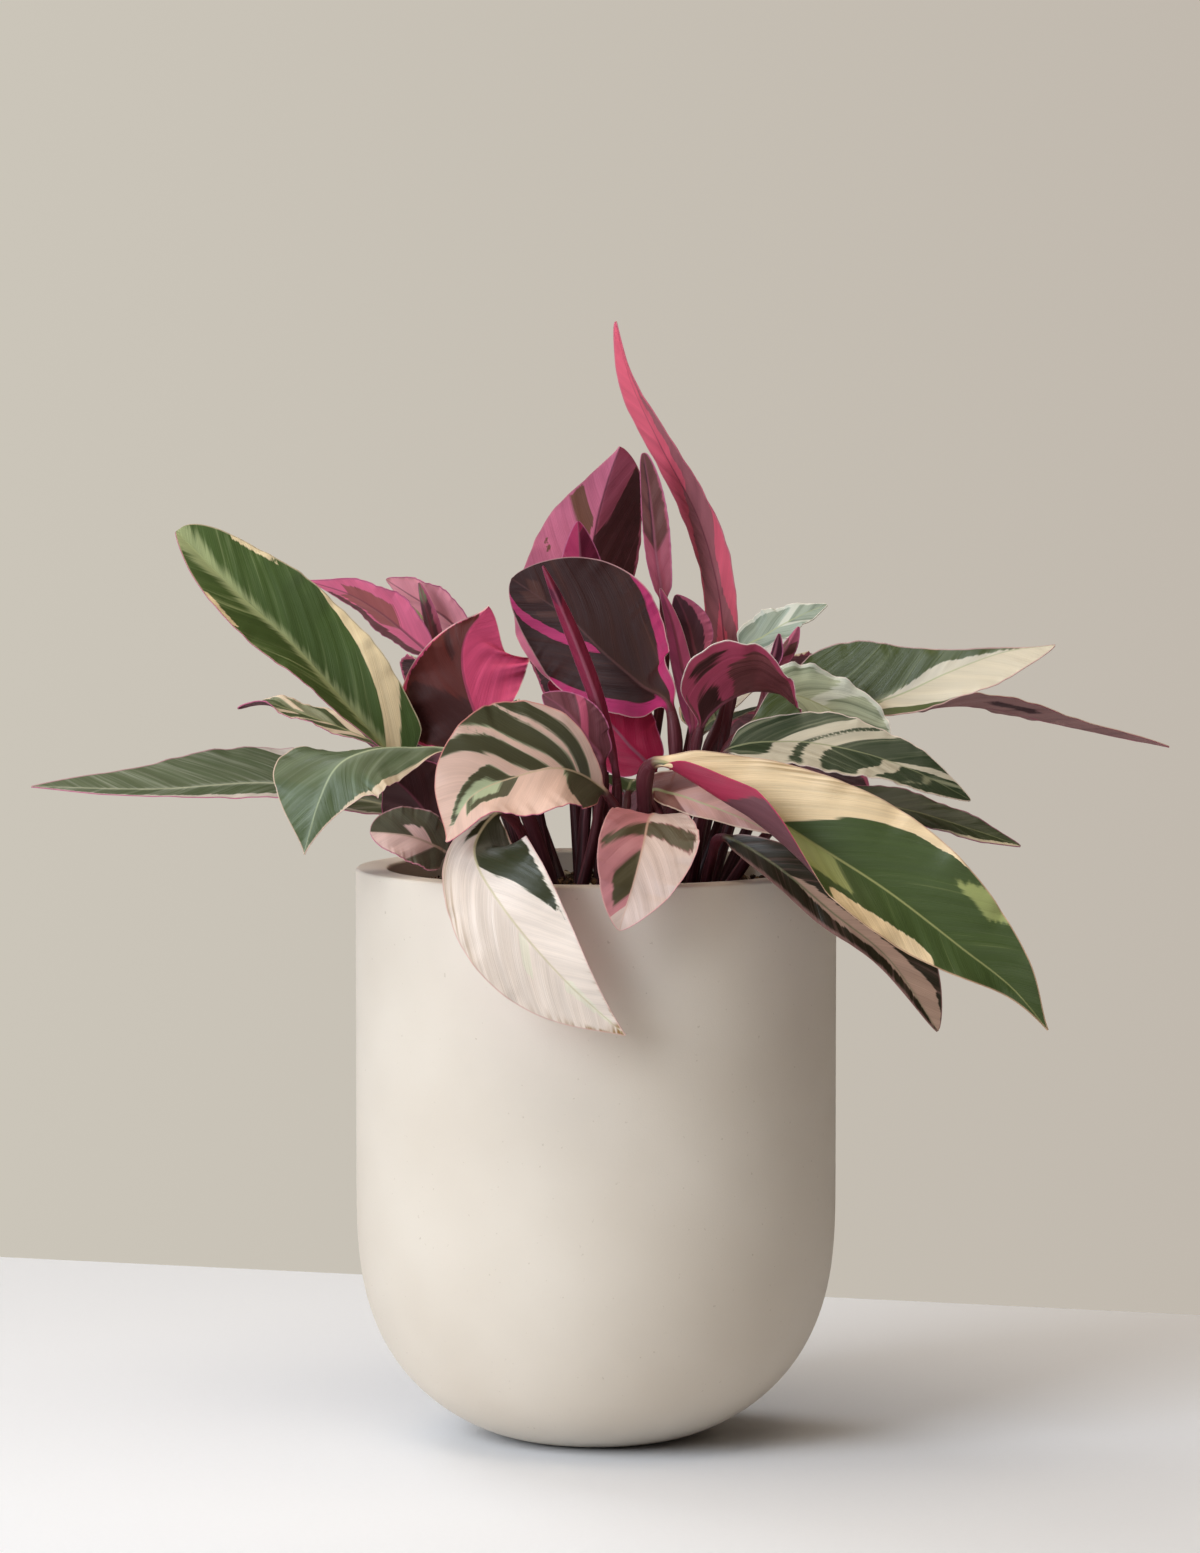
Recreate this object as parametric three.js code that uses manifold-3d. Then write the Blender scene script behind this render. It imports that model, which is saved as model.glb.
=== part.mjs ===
// Potted stromanthe triostar: a round-bottomed cylinder pot, filled with potting mix, and a
// clump of long-stalked leaves. Millimetres, +Z up, origin at the centre of the pot's flat base,
// -Y the front of the plant, +X its right-hand side.
//
// Every leaf is one closed loft: a round stalk that stands in its own plain hole in the potting
// mix, swells a little below the blade, and opens out into a thin blade along the same centre
// line. The blade can fold along its rib, curl at each margin, twist from base to tip and wave
// along its edges.
import * as THREE from 'three';
import Module from 'manifold-3d';
import { mergeVertices } from 'three/addons/utils/BufferGeometryUtils.js';

const wasm = await Module();
wasm.setup();

// ---- Pot -------------------------------------------------------------------------------------
const POT_RADIUS = 119.5;
const POT_HEIGHT = 285;
const POT_WALL = 16;
const POT_CURVE_HEIGHT = 130;
const POT_CURVE_REACH = 85;
const POT_INNER_REACH = 76;
const POT_RISE_POWER = 3;
const POT_REACH_POWER = 1.6;
const POT_FLOOR = 20;
const POT_RIM_ROUND = 1.5;
const POT_SIDES = 48;
const POT_CURVE_STEPS = 7;
const MERGE_DISTANCE = 0.001;

// ---- Potting mix -----------------------------------------------------------------------------
const SOIL_TOP = 273.5;
const SEAT_GAP = 0.3;
const HOLE_DEPTH = 12;
const HOLE_SIDES = 8;

// ---- Leaves ----------------------------------------------------------------------------------
const STALK_FOOT_RADIUS = 3.2;
const STALK_TOP_RADIUS = 2;
const STALK_STEPS = 4;
const SWELL = 1.3;
const SWELL_START = 0.7;
const BLADE_STEPS = 8;
const BLADE_CELLS = 2;
const RIB_THICKNESS = 1.6;
const MARGIN_THICKNESS = 0.8;
const TIP_HALF_WIDTH = 0.7;
const BELLY = 0.42;
const FULLNESS = 0.75;
const LEFT = 0;
const RIGHT = 1;
const NO_CURL = [0, 0];
const NO_WAVE = [0, 0];
const RIGHT_WAVE_LEAD = 2;
const DEGREE = Math.PI / 180;
const FRONT = new THREE.Vector3(0, -1, 0);
const SKY = new THREE.Vector3(0, 0, 1);

// One entry a leaf, in millimetres and degrees.
//   root    where its stalk leaves the potting mix, x and y
//   stalk   points the stalk passes on its way up
//   rib     points along the blade's midrib, from base to tip
//   half    widest half-width, left and right of the rib as seen from the base
//   turn    how far the upper face is turned from the front, or from the sky where sky is true
//   fold    how far each half rises from the rib along the blade, left and then right
//   curl    how much further each margin bends along the blade, left and then right
//   wave    height and number of the ripples along each margin
//   belly   where along the blade each half is widest
//   full    how bluntly each half narrows to the ends, blunter when smaller
//   cells   strips across each half
//   steps   strips along the blade
//   stout   how much thicker than the rest its stalk is
const LEAVES = [
  {
    name: 'leaf_01_left_upper', tone: 'green', root: [-38, -2], stalk: [[-66, -8, 302]],
    rib: [[-92, -16, 331], [-122, -26, 366], [-148, -34, 396], [-178, -42, 425], [-205, -46, 453]],
    half: [23, 31], turn: [31, 31], fold: [[60, 45, 36, 22, 14], [26, 22, 20]],
    wave: [1.5, 3], belly: [0.56, 0.42], full: [0.8, 0.45],
  },
  {
    name: 'leaf_02_left_level', tone: 'green', root: [-44, -20], stalk: [[-60, -22, 298]],
    rib: [[-77, -26, 310], [-118, -32, 321], [-160, -38, 329], [-216, -52, 327], [-275, -60, 329]],
    half: [18, 26], turn: [62, 58], fold: [[14, 12], [14, 12]],
    wave: [1.2, 3], belly: [0.4, 0.46], full: [1.1, 0.95],
  },
  {
    name: 'leaf_03_left_twisted', tone: 'green', root: [-34, -34], stalk: [[-50, -42, 312]],
    rib: [[-69, -50, 344], [-91, -60, 348], [-110, -68, 347], [-125, -76, 340], [-134, -82, 323],
      [-141, -86, 298]],
    half: [26, 31], turn: [78, 72, 55, 12, 5], fold: [[-30, -30, -10, 6], [-30, -30, -10, 6]],
    wave: [2, 3], belly: [0.5, 0.64], full: [1.4, 1.35],
  },
  {
    name: 'leaf_04_left_curled', tone: 'green', root: [-46, 12], stalk: [[-78, 14, 320]],
    rib: [[-109, 16, 344], [-128, 18, 353], [-148, 20, 360], [-165, 20, 365], [-179, 16, 363]],
    half: [13, 13], turn: [70, 72, 76, 120], fold: [[8, 8], [10, 10]], wave: [1, 3],
  },
  {
    name: 'leaf_05_left_pink', tone: 'magenta', root: [-32, 16], stalk: [[-50, 18, 330], [-68, 22, 368]],
    rib: [[-81, 22, 388], [-94, 26, 400], [-108, 30, 411], [-124, 32, 420], [-144, 34, 426]],
    half: [15, 15], turn: [140, 135], fold: [[10, 10], [10, 10]],
    wave: [1, 3], full: [1, 1],
  },
  {
    name: 'leaf_06_left_pale', tone: 'magenta', root: [-22, 30], stalk: [[-34, 36, 330], [-50, 42, 374]],
    rib: [[-64, 46, 396], [-75, 50, 407], [-86, 52, 414], [-96, 55, 420], [-106, 58, 426]],
    half: [13, 13], turn: [138, 135], fold: [[10, 10], [10, 10]], wave: [1, 3],
  },
  {
    name: 'leaf_07_left_broad', tone: 'plum', root: [-22, -10], stalk: [[-34, -14, 312]],
    rib: [[-52, -16, 346], [-61, -15, 366], [-66, -13, 385], [-64, -12, 401], [-53, -10, 415]],
    half: [34, 38], turn: [180, 180], fold: [[12, 12], [12, 12]],
    wave: [3, 4], belly: [0.52, 0.28], full: [0.75, 1.7], cells: 3, stout: 1.4,
  },
  {
    name: 'leaf_08_back_tall', tone: 'magenta', root: [2, 30], stalk: [[4, 36, 318]],
    rib: [[3, 42, 362], [0, 50, 391], [-3, 58, 418], [-1, 64, 448], [5, 64, 473], [12, 60, 493]],
    half: [34, 39], turn: [204, 204], fold: [[24, 22], [24, 22]],
    wave: [1.5, 3], belly: [0.6, 0.32], full: [0.7, 1.3], cells: 3,
  },
  {
    name: 'leaf_09_centre_round', tone: 'plum', root: [24, -22], stalk: [[38, -32, 316]],
    rib: [[37, -34, 364], [22, -22, 377], [4, -10, 392], [-14, 2, 409], [-42, 12, 428]],
    half: [38, 29], turn: [180, 180], fold: [[8, 8], [8, 8]],
    wave: [1.5, 3], belly: [0.62, 0.6], full: [0.65, 0.6], cells: 3, stout: 1.3,
  },
  {
    name: 'leaf_10_centre_spear', tone: 'magenta', root: [2, -40], stalk: [[8, -46, 304]],
    rib: [[10, -52, 333], [2, -50, 366], [-8, -44, 394], [-18, -40, 418], [-26, -38, 436]],
    half: [8, 8], turn: [180, 180], fold: [[40, 40], [40, 40]], curl: [[40, 40], [40, 40]],
  },
  {
    name: 'leaf_11_back_narrow', tone: 'plum', root: [16, 24], stalk: [[26, 34, 326], [34, 42, 378]],
    rib: [[34, 46, 414], [31, 50, 436], [29, 52, 456], [27, 52, 473], [24, 50, 490]],
    half: [8, 8], turn: [150, 150], fold: [[14, 14], [14, 14]], full: [0.5, 0.5],
  },
  {
    name: 'leaf_12_back_tallest', tone: 'magenta', root: [34, 34], stalk: [[48, 46, 320], [62, 50, 350]],
    rib: [[69, 54, 372], [66, 60, 393], [62, 66, 424], [52, 66, 458], [34, 62, 492],
      [18, 56, 526], [10, 50, 556]],
    half: [15, 15], turn: [140, 138, 122, 118, 118],
    fold: [[-25, -22, -6, 10, -14, -25], [8, 8, 8, -6, -26, -40]],
    wave: [1, 3], belly: [0.3, 0.3], full: [0.6, 0.6], stout: 1.3,
  },
  {
    name: 'leaf_13_back_dark', tone: 'plum', root: [30, 12], stalk: [[42, 22, 322], [50, 28, 362]],
    rib: [[51, 30, 384], [49, 33, 394], [47, 35, 403], [44, 36, 411], [40, 36, 419]],
    half: [11, 11], turn: [165, 165], fold: [[10, 10], [10, 10]],
  },
  {
    name: 'leaf_14_right_folded', tone: 'plum', root: [40, -26], stalk: [[44, -44, 318], [48, -54, 343]],
    rib: [[51, -58, 358], [59, -60, 368], [69, -58, 374], [79, -54, 376], [92, -48, 374],
      [105, -44, 370], [120, -44, 362], [133, -48, 350], [141, -50, 343]],
    half: [21, 33], turn: [-155, -148, -125, -65, -50, -45, -35],
    fold: [[60, 50, 35, 22, 8, 8], [4, 6, 8, 8, 8]],
    wave: [1.5, 4], belly: [0.72, 0.25], full: [0.65, 1.8], cells: 3, steps: 12,
  },
  {
    name: 'leaf_15_right_pale', tone: 'striped', root: [48, 22], stalk: [[60, 28, 326], [68, 30, 368]],
    rib: [[73, 30, 390], [84, 30, 398], [94, 31, 404], [104, 33, 409], [116, 36, 414]],
    half: [17, 13], turn: [-58, -58], fold: [[8, 8], [8, 8]], wave: [1, 3], belly: [0.3, 0.42],
  },
  {
    name: 'leaf_16_right_spear', tone: 'plum', root: [50, 6], stalk: [[68, 8, 324], [82, 10, 362]],
    rib: [[88, 10, 381], [91, 11, 387], [95, 12, 393], [98, 12, 398], [101, 12, 404]],
    half: [5, 5], turn: [150, 150], fold: [[30, 30], [30, 30]],
  },
  {
    name: 'leaf_17_right_large', tone: 'green', root: [42, -6], stalk: [[54, -4, 318]],
    rib: [[74, -4, 354], [111, -10, 361], [146, -18, 370], [174, -26, 383], [200, -32, 393],
      [225, -38, 397]],
    half: [34, 22], turn: [-35, -40], fold: [[28, 20], [30, 10]],
    wave: [1.2, 3], belly: [0.28, 0.68], full: [2.6, 0.85], cells: 3,
  },
  {
    name: 'leaf_18_right_edgewise', tone: 'plum', root: [62, 16], stalk: [[88, 24, 322]],
    rib: [[127, 24, 354], [160, 24, 362], [191, 22, 364], [237, 18, 354], [286, 12, 344]],
    half: [22, 19], turn: [-106, -104], fold: [[10, 10], [10, 10]], wave: [1, 3],
  },
  {
    name: 'leaf_19_right_striped', tone: 'striped', root: [46, -42], stalk: [[52, -60, 312]],
    rib: [[63, -76, 346], [92, -80, 352], [124, -84, 348], [154, -86, 338], [181, -84, 324]],
    half: [21, 31], turn: [-58, -58], fold: [[14, 14], [14, 14]], wave: [1, 3],
  },
  {
    name: 'leaf_20_right_largest', tone: 'green', root: [26, -56], stalk: [[24, -74, 310]],
    rib: [[28, -94, 343], [68, -108, 327], [107, -119, 304], [140, -125, 283], [174, -129, 257],
      [198, -128, 238], [216, -124, 217]],
    half: [36, 32], turn: [-8, -8], fold: [[8, 8], [30, 25, 20, 12, 10, 10]],
    curl: [[0, 0], [150, 165, 60, 10, 0, 0]],
    wave: [2, 4], belly: [0.44, 0.3], full: [1.15, 1.6], cells: 3, stout: 1.5,
  },
  {
    name: 'leaf_21_right_hanging', tone: 'green', root: [52, -60], stalk: [[56, -70, 294]],
    rib: [[62, -82, 306], [86, -98, 294], [113, -106, 272], [141, -110, 249], [164, -112, 215]],
    half: [24, 9], turn: [-20, -20], fold: [[10, 10], [10, 10]], wave: [1, 3], belly: [0.62, 0.42],
  },
  {
    name: 'leaf_22_right_low', tone: 'green', root: [62, -36], stalk: [[80, -44, 300]],
    rib: [[100, -52, 320], [126, -58, 322], [155, -66, 317], [182, -72, 309], [206, -74, 301]],
    half: [13, 18], turn: [-60, -60], fold: [[12, 12], [12, 12]], wave: [1, 3],
  },
  {
    name: 'leaf_23_front_arched', tone: 'striped', root: [12, -62], stalk: [[16, -76, 300]],
    rib: [[5, -96, 328], [-15, -112, 341], [-38, -124, 338], [-59, -132, 329], [-71, -136, 308]],
    half: [34, 38], turn: [31, 31], fold: [[30, 26], [30, 24]],
    wave: [1.5, 3], belly: [0.45, 0.5], full: [0.85, 1.4], cells: 3,
  },
  {
    name: 'leaf_24_left_low', tone: 'striped', root: [-58, -50], stalk: [[-66, -68, 284]],
    rib: [[-72, -86, 298], [-80, -96, 304], [-89, -104, 308], [-99, -110, 310], [-108, -114, 311]],
    half: [15, 15], turn: [30, 30], fold: [[12, 12], [12, 12]], wave: [1, 3], full: [0.5, 0.5],
  },
  {
    name: 'leaf_25_front_cream', tone: 'cream', root: [-30, -64], stalk: [[-34, -82, 304]],
    rib: [[-46, -104, 320], [-58, -124, 303], [-45, -144, 279], [-17, -150, 246], [14, -148, 217]],
    half: [29, 28], turn: [0, 0], fold: [[12, 12], [12, 12]],
    wave: [1.5, 3], belly: [0.42, 0.6], full: [1.2, 1.1], cells: 3,
  },
  {
    name: 'leaf_26_front_small', tone: 'cream', root: [26, -76], stalk: [[30, -82, 298]],
    rib: [[28, -94, 316], [25, -114, 316], [22, -134, 304], [17, -144, 286], [11, -148, 267]],
    half: [26, 22], sky: true, turn: [0, -10, -16, -21, -35, -54, -60],
    fold: [[10, 14], [10, 14]], wave: [1, 3], belly: [0.42, 0.5], stout: 1.4,
  },
  {
    name: 'leaf_27_right_blush', tone: 'cream', root: [38, -72], stalk: [[38, -80, 298]],
    rib: [[27, -72, 326], [36, -76, 327], [50, -82, 323], [67, -88, 317], [86, -94, 309]],
    half: [14, 8], turn: [-20, -20], fold: [[10, 10], [10, 10]], wave: [1, 3],
  },
  {
    name: 'leaf_28_left_plum', tone: 'plum', root: [-48, -38], stalk: [[-62, -43, 286]],
    rib: [[-72, -46, 298], [-80, -48, 311], [-88, -50, 322], [-96, -52, 330], [-104, -54, 335]],
    half: [22, 20], turn: [180, 180], fold: [[12, 12], [12, 12]],
  },
  {
    name: 'leaf_29_left_spear', tone: 'plum', root: [-32, 26], stalk: [[-52, 32, 326], [-70, 34, 364]],
    rib: [[-78, 34, 382], [-80, 35, 391], [-83, 36, 404], [-86, 37, 415], [-89, 38, 425]],
    half: [5, 5], turn: [160, 160], fold: [[30, 30], [30, 30]],
  },
  {
    name: 'leaf_30_centre_tip', tone: 'magenta', root: [-8, 18], stalk: [[-4, 20, 328], [-2, 24, 368]],
    rib: [[-2, 26, 397], [-5, 30, 412], [-7, 32, 427], [-8, 33, 441], [-9, 33, 456]],
    half: [13, 13], turn: [180, 180], fold: [[20, 20], [20, 20]],
  },
  {
    name: 'leaf_31_centre_rolled', tone: 'magenta', root: [36, 2], stalk: [[46, -2, 316]],
    rib: [[48, -6, 351], [46, 2, 368], [42, 8, 388], [38, 12, 406], [32, 14, 423]],
    half: [9, 9], turn: [180, 180], fold: [[40, 40], [40, 40]], curl: [[30, 30], [30, 30]],
  },
  {
    name: 'leaf_32_centre_magenta', tone: 'magenta', root: [14, -10], stalk: [[24, -6, 304]],
    rib: [[28, -4, 331], [16, 2, 346], [4, 8, 359], [-9, 12, 369], [-24, 14, 376]],
    half: [20, 20], turn: [180, 180], fold: [[10, 10], [10, 10]], stout: 1.4,
  },
  {
    name: 'leaf_33_centre_muted', tone: 'striped', root: [-8, -50], stalk: [[0, -54, 308]],
    rib: [[3, -58, 340], [-3, -60, 351], [-10, -60, 361], [-17, -58, 368], [-26, -56, 374]],
    half: [13, 13], turn: [180, 180], fold: [[10, 10], [10, 10]],
  },
  {
    name: 'leaf_34_right_shoot', tone: 'plum', root: [56, -8], stalk: [[72, -4, 324], [84, 0, 362]],
    rib: [[86, 1, 381], [87, 1, 386], [89, 2, 391], [90, 2, 396], [91, 2, 401]],
    half: [4, 4], turn: [150, 150], fold: [[30, 30], [30, 30]],
  },
  {
    name: 'leaf_35_rear_middle', tone: 'green', root: [2, 54], stalk: [[0, 72, 330]],
    rib: [[-2, 92, 366], [-6, 122, 384], [-10, 152, 382], [-12, 182, 364], [-14, 208, 336]],
    half: [27, 27], sky: true, turn: [0, 0], fold: [[14, 12], [14, 12]], wave: [1.5, 3],
  },
  {
    name: 'leaf_36_rear_right', tone: 'striped', root: [24, 52], stalk: [[38, 72, 316]],
    rib: [[52, 92, 344], [66, 118, 354], [78, 146, 348], [88, 172, 328], [95, 194, 298]],
    half: [28, 28], sky: true, turn: [0, 0], fold: [[14, 12], [14, 12]], wave: [1.5, 3],
  },
  {
    name: 'leaf_37_rear_left', tone: 'green', root: [-18, 50], stalk: [[-34, 70, 316]],
    rib: [[-48, 90, 344], [-60, 116, 354], [-72, 142, 348], [-82, 166, 328], [-90, 186, 300]],
    half: [27, 27], sky: true, turn: [0, 0], fold: [[14, 12], [14, 12]], wave: [1.5, 3],
  },
  {
    name: 'leaf_38_rear_left_low', tone: 'cream', root: [-42, 38], stalk: [[-54, 50, 300]],
    rib: [[-66, 66, 316], [-76, 88, 321], [-84, 112, 314], [-90, 134, 296], [-94, 152, 270]],
    half: [20, 20], sky: true, turn: [0, 0], fold: [[14, 12], [14, 12]], wave: [1.5, 3],
  },
  {
    name: 'leaf_39_rear_right_low', tone: 'green', root: [48, 40], stalk: [[66, 54, 304]],
    rib: [[80, 66, 324], [98, 84, 330], [114, 104, 324], [126, 124, 306], [132, 142, 278]],
    half: [24, 24], sky: true, turn: [0, 0], fold: [[14, 12], [14, 12]], wave: [1.5, 3],
  },
  {
    name: 'leaf_40_rear_upright', tone: 'plum', root: [-8, 44], stalk: [[-12, 62, 330]],
    rib: [[-16, 80, 376], [-14, 92, 402], [-10, 102, 424], [-6, 108, 442], [0, 110, 458]],
    half: [22, 22], turn: [0, 0], fold: [[20, 16], [20, 16]], wave: [1, 3],
  },
  {
    name: 'leaf_41_rear_right_upper', tone: 'magenta', root: [38, 46], stalk: [[50, 60, 320]],
    rib: [[62, 74, 352], [76, 92, 374], [88, 112, 382], [98, 132, 376], [106, 150, 360]],
    half: [22, 22], sky: true, turn: [0, 0], fold: [[18, 12], [18, 12]], wave: [1.5, 3],
  },
  {
    name: 'leaf_42_rear_left_upper', tone: 'green', root: [-32, 42], stalk: [[-46, 56, 320]],
    rib: [[-58, 70, 350], [-70, 88, 372], [-80, 108, 380], [-87, 128, 374], [-92, 146, 358]],
    half: [21, 21], sky: true, turn: [0, 0], fold: [[18, 12], [18, 12]], wave: [1.5, 3],
  },
  {
    name: 'leaf_43_rear_middle_low', tone: 'striped', root: [12, 66], stalk: [[14, 80, 298]],
    rib: [[16, 98, 314], [19, 122, 320], [21, 148, 312], [23, 172, 292], [25, 190, 264]],
    half: [24, 24], sky: true, turn: [0, 0], fold: [[14, 12], [14, 12]], wave: [1.5, 3],
  },
];

// ---- Solids ----------------------------------------------------------------------------------

// The same surface with its shared corners merged and its zero-width triangles left out.
function sealed(geometry) {
  geometry.deleteAttribute('normal');
  geometry.deleteAttribute('uv');
  const merged = mergeVertices(geometry, MERGE_DISTANCE);
  const index = merged.getIndex().array;
  const kept = [];
  for (let i = 0; i < index.length; i += 3) {
    const [a, b, c] = [index[i], index[i + 1], index[i + 2]];
    if (a !== b && b !== c && c !== a) {
      kept.push(a, b, c);
    }
  }
  merged.setIndex(kept);
  return merged;
}

function toManifold(geometry) {
  const closed = sealed(geometry);
  return new wasm.Manifold(new wasm.Mesh({
    numProp: 3,
    vertProperties: new Float32Array(closed.getAttribute('position').array),
    triVerts: new Uint32Array(closed.getIndex().array),
  }));
}

function toGeometry(manifold) {
  const mesh = manifold.getMesh();
  const geometry = new THREE.BufferGeometry();
  geometry.setAttribute('position', new THREE.BufferAttribute(mesh.vertProperties, 3));
  geometry.setIndex(new THREE.BufferAttribute(mesh.triVerts, 1));
  return geometry;
}

// A round-bottomed wall in profile, from the axis at its low point out and up to its full radius:
// a flat middle, then a quarter superellipse.
function bowlProfile(radius, reach, low) {
  const points = [new THREE.Vector2(0, low)];
  for (let i = 0; i <= POT_CURVE_STEPS; i += 1) {
    const angle = (i / POT_CURVE_STEPS) * (Math.PI / 2);
    const drop = Math.cos(angle) ** (2 / POT_RISE_POWER);
    const out = Math.sin(angle) ** (2 / POT_REACH_POWER);
    const height = POT_CURVE_HEIGHT - (POT_CURVE_HEIGHT - low) * drop;
    points.push(new THREE.Vector2(radius - reach + reach * out, height));
  }
  return points;
}

function turned(points) {
  const geometry = new THREE.LatheGeometry(points, POT_SIDES);
  geometry.rotateX(Math.PI / 2);
  return geometry;
}

function potGeometry() {
  const inner = POT_RADIUS - POT_WALL;
  const points = bowlProfile(POT_RADIUS, POT_CURVE_REACH, 0);
  points.push(new THREE.Vector2(POT_RADIUS, POT_HEIGHT - POT_RIM_ROUND));
  points.push(new THREE.Vector2(POT_RADIUS - POT_RIM_ROUND, POT_HEIGHT));
  points.push(new THREE.Vector2(inner + POT_RIM_ROUND, POT_HEIGHT));
  points.push(new THREE.Vector2(inner, POT_HEIGHT - POT_RIM_ROUND));
  points.push(...bowlProfile(inner, POT_INNER_REACH, POT_FLOOR).reverse());
  return turned(points);
}

// A leaf's centre line: up its stalk from the potting mix, then along its midrib.
function ribCurve(leaf) {
  const foot = [leaf.root[0], leaf.root[1], SOIL_TOP];
  const points = [foot, ...leaf.stalk, ...leaf.rib].map((point) => new THREE.Vector3(...point));
  return new THREE.CatmullRomCurve3(points, false, 'catmullrom', 0.5);
}

// The share of the centre line at which the stalk ends and the blade begins.
function bladeStart(leaf) {
  return (leaf.stalk.length + 1) / (leaf.stalk.length + leaf.rib.length);
}

// A value along the blade from a short list of evenly spaced ones.
function along(values, share) {
  const place = THREE.MathUtils.clamp(share, 0, 1) * (values.length - 1);
  const low = Math.min(Math.floor(place), values.length - 2);
  return THREE.MathUtils.lerp(values[low], values[low + 1], place - low);
}

// The direction that the upper face looks in: square to the rib, turned from the front or the sky.
function faceNormal(leaf, tangent, share) {
  const toward = leaf.sky ? SKY : FRONT;
  const level = toward.clone().addScaledVector(tangent, -toward.dot(tangent)).normalize();
  const across = new THREE.Vector3().crossVectors(tangent, level);
  const angle = along(leaf.turn, share) * DEGREE;
  return level.multiplyScalar(Math.cos(angle)).addScaledVector(across, Math.sin(angle));
}

function stalkRing(centre, tangent, normal, radius, cells) {
  const across = new THREE.Vector3().crossVectors(tangent, normal);
  const count = 4 * cells + 2;
  const ring = [];
  for (let i = 0; i < count; i += 1) {
    const angle = Math.PI - ((i + 0.5) / count) * 2 * Math.PI;
    const point = centre.clone().addScaledVector(across, radius * Math.cos(angle));
    ring.push(point.addScaledVector(normal, radius * Math.sin(angle)));
  }
  return ring;
}

// How wide the blade is at a share of its length, from 0 at its ends to 1 at its belly.
function outline(leaf, side, share) {
  const skew = Math.log(0.5) / Math.log(leaf.belly?.[side] ?? BELLY);
  return Math.abs(Math.sin(Math.PI * share ** skew)) ** (leaf.full?.[side] ?? FULLNESS);
}

// How long the chord of an evenly bent strip is, as a share of its arc.
function chordShare(bend) {
  return bend === 0 ? 1 : Math.sin(bend / 2) / (bend / 2);
}

// How far a half-blade is lifted by its ripples, which grow towards the margin and die out at
// both ends of the blade.
function ripple(leaf, side, reach, share) {
  const [height, count] = leaf.wave ?? NO_WAVE;
  const swing = Math.sin(2 * Math.PI * count * share + side * RIGHT_WAVE_LEAD);
  return height * swing * reach ** 2 * Math.sin(Math.PI * share);
}

// A blade's section: its upper points from the left margin to the right, then its lower points
// back. Each half leaves the rib at its fold angle and bends evenly by its curl.
function bladeRing(leaf, centre, tangent, normal, share, cells) {
  const across = new THREE.Vector3().crossVectors(tangent, normal);
  const upper = [];
  const lower = [];
  for (let cell = -cells; cell <= cells; cell += 1) {
    const side = cell < 0 ? LEFT : RIGHT;
    const reach = Math.abs(cell) / cells;
    const fold = cell === 0 ? 0 : along(leaf.fold[side], share) * DEGREE;
    const bend = along(leaf.curl?.[side] ?? NO_CURL, share) * DEGREE * reach;
    const width = (leaf.half[side] - TIP_HALF_WIDTH) * outline(leaf, side, share) + TIP_HALF_WIDTH;
    const chord = width * reach * chordShare(bend);
    const lift = chord * Math.sin(fold + bend / 2) + ripple(leaf, side, reach, share);
    const point = centre.clone().addScaledVector(normal, lift);
    point.addScaledVector(across, Math.sign(cell) * chord * Math.cos(fold + bend / 2));
    const facing = normal.clone().multiplyScalar(Math.cos(fold + bend));
    facing.addScaledVector(across, -Math.sign(cell) * Math.sin(fold + bend));
    const thickness = THREE.MathUtils.lerp(RIB_THICKNESS, MARGIN_THICKNESS, Math.sqrt(reach));
    upper.push(point.clone().addScaledVector(facing, thickness / 2));
    lower.unshift(point.clone().addScaledVector(facing, -thickness / 2));
  }
  return [...upper, ...lower];
}

// How far along its centre line a leaf's rings stand: even steps, drawn a little towards the ends.
function bladeShare(step, steps) {
  const even = step / steps;
  return (even + (1 - Math.cos(Math.PI * even)) / 2) / 2;
}

function stalkRings(leaf, curve, start, cells) {
  const rings = [];
  let normal = faceNormal(leaf, curve.getTangent(start), 0);
  for (let step = STALK_STEPS; step >= 0; step -= 1) {
    const share = step / STALK_STEPS;
    const tangent = curve.getTangent(start * share);
    normal = normal.clone().addScaledVector(tangent, -normal.dot(tangent)).normalize();
    const taper = THREE.MathUtils.lerp(STALK_FOOT_RADIUS, STALK_TOP_RADIUS, share);
    const swollen = share > SWELL_START && share < 1 ? SWELL : 1;
    const radius = taper * swollen * (leaf.stout ?? 1);
    rings.unshift(stalkRing(curve.getPoint(start * share), tangent, normal, radius, cells));
  }
  const down = curve.getTangent(0).multiplyScalar(SEAT_GAP - HOLE_DEPTH);
  const foot = rings[0].map((point) => point.clone().add(down));
  return [foot, ...rings];
}

function leafRings(leaf) {
  const curve = ribCurve(leaf);
  const start = bladeStart(leaf);
  const cells = leaf.cells ?? BLADE_CELLS;
  const steps = leaf.steps ?? BLADE_STEPS;
  const rings = stalkRings(leaf, curve, start, cells);
  for (let step = 1; step <= steps; step += 1) {
    const share = bladeShare(step, steps);
    const place = start + (1 - start) * share;
    const tangent = curve.getTangent(place);
    const face = faceNormal(leaf, tangent, share);
    rings.push(bladeRing(leaf, curve.getPoint(place), tangent, face, share, cells));
  }
  return rings;
}

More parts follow.
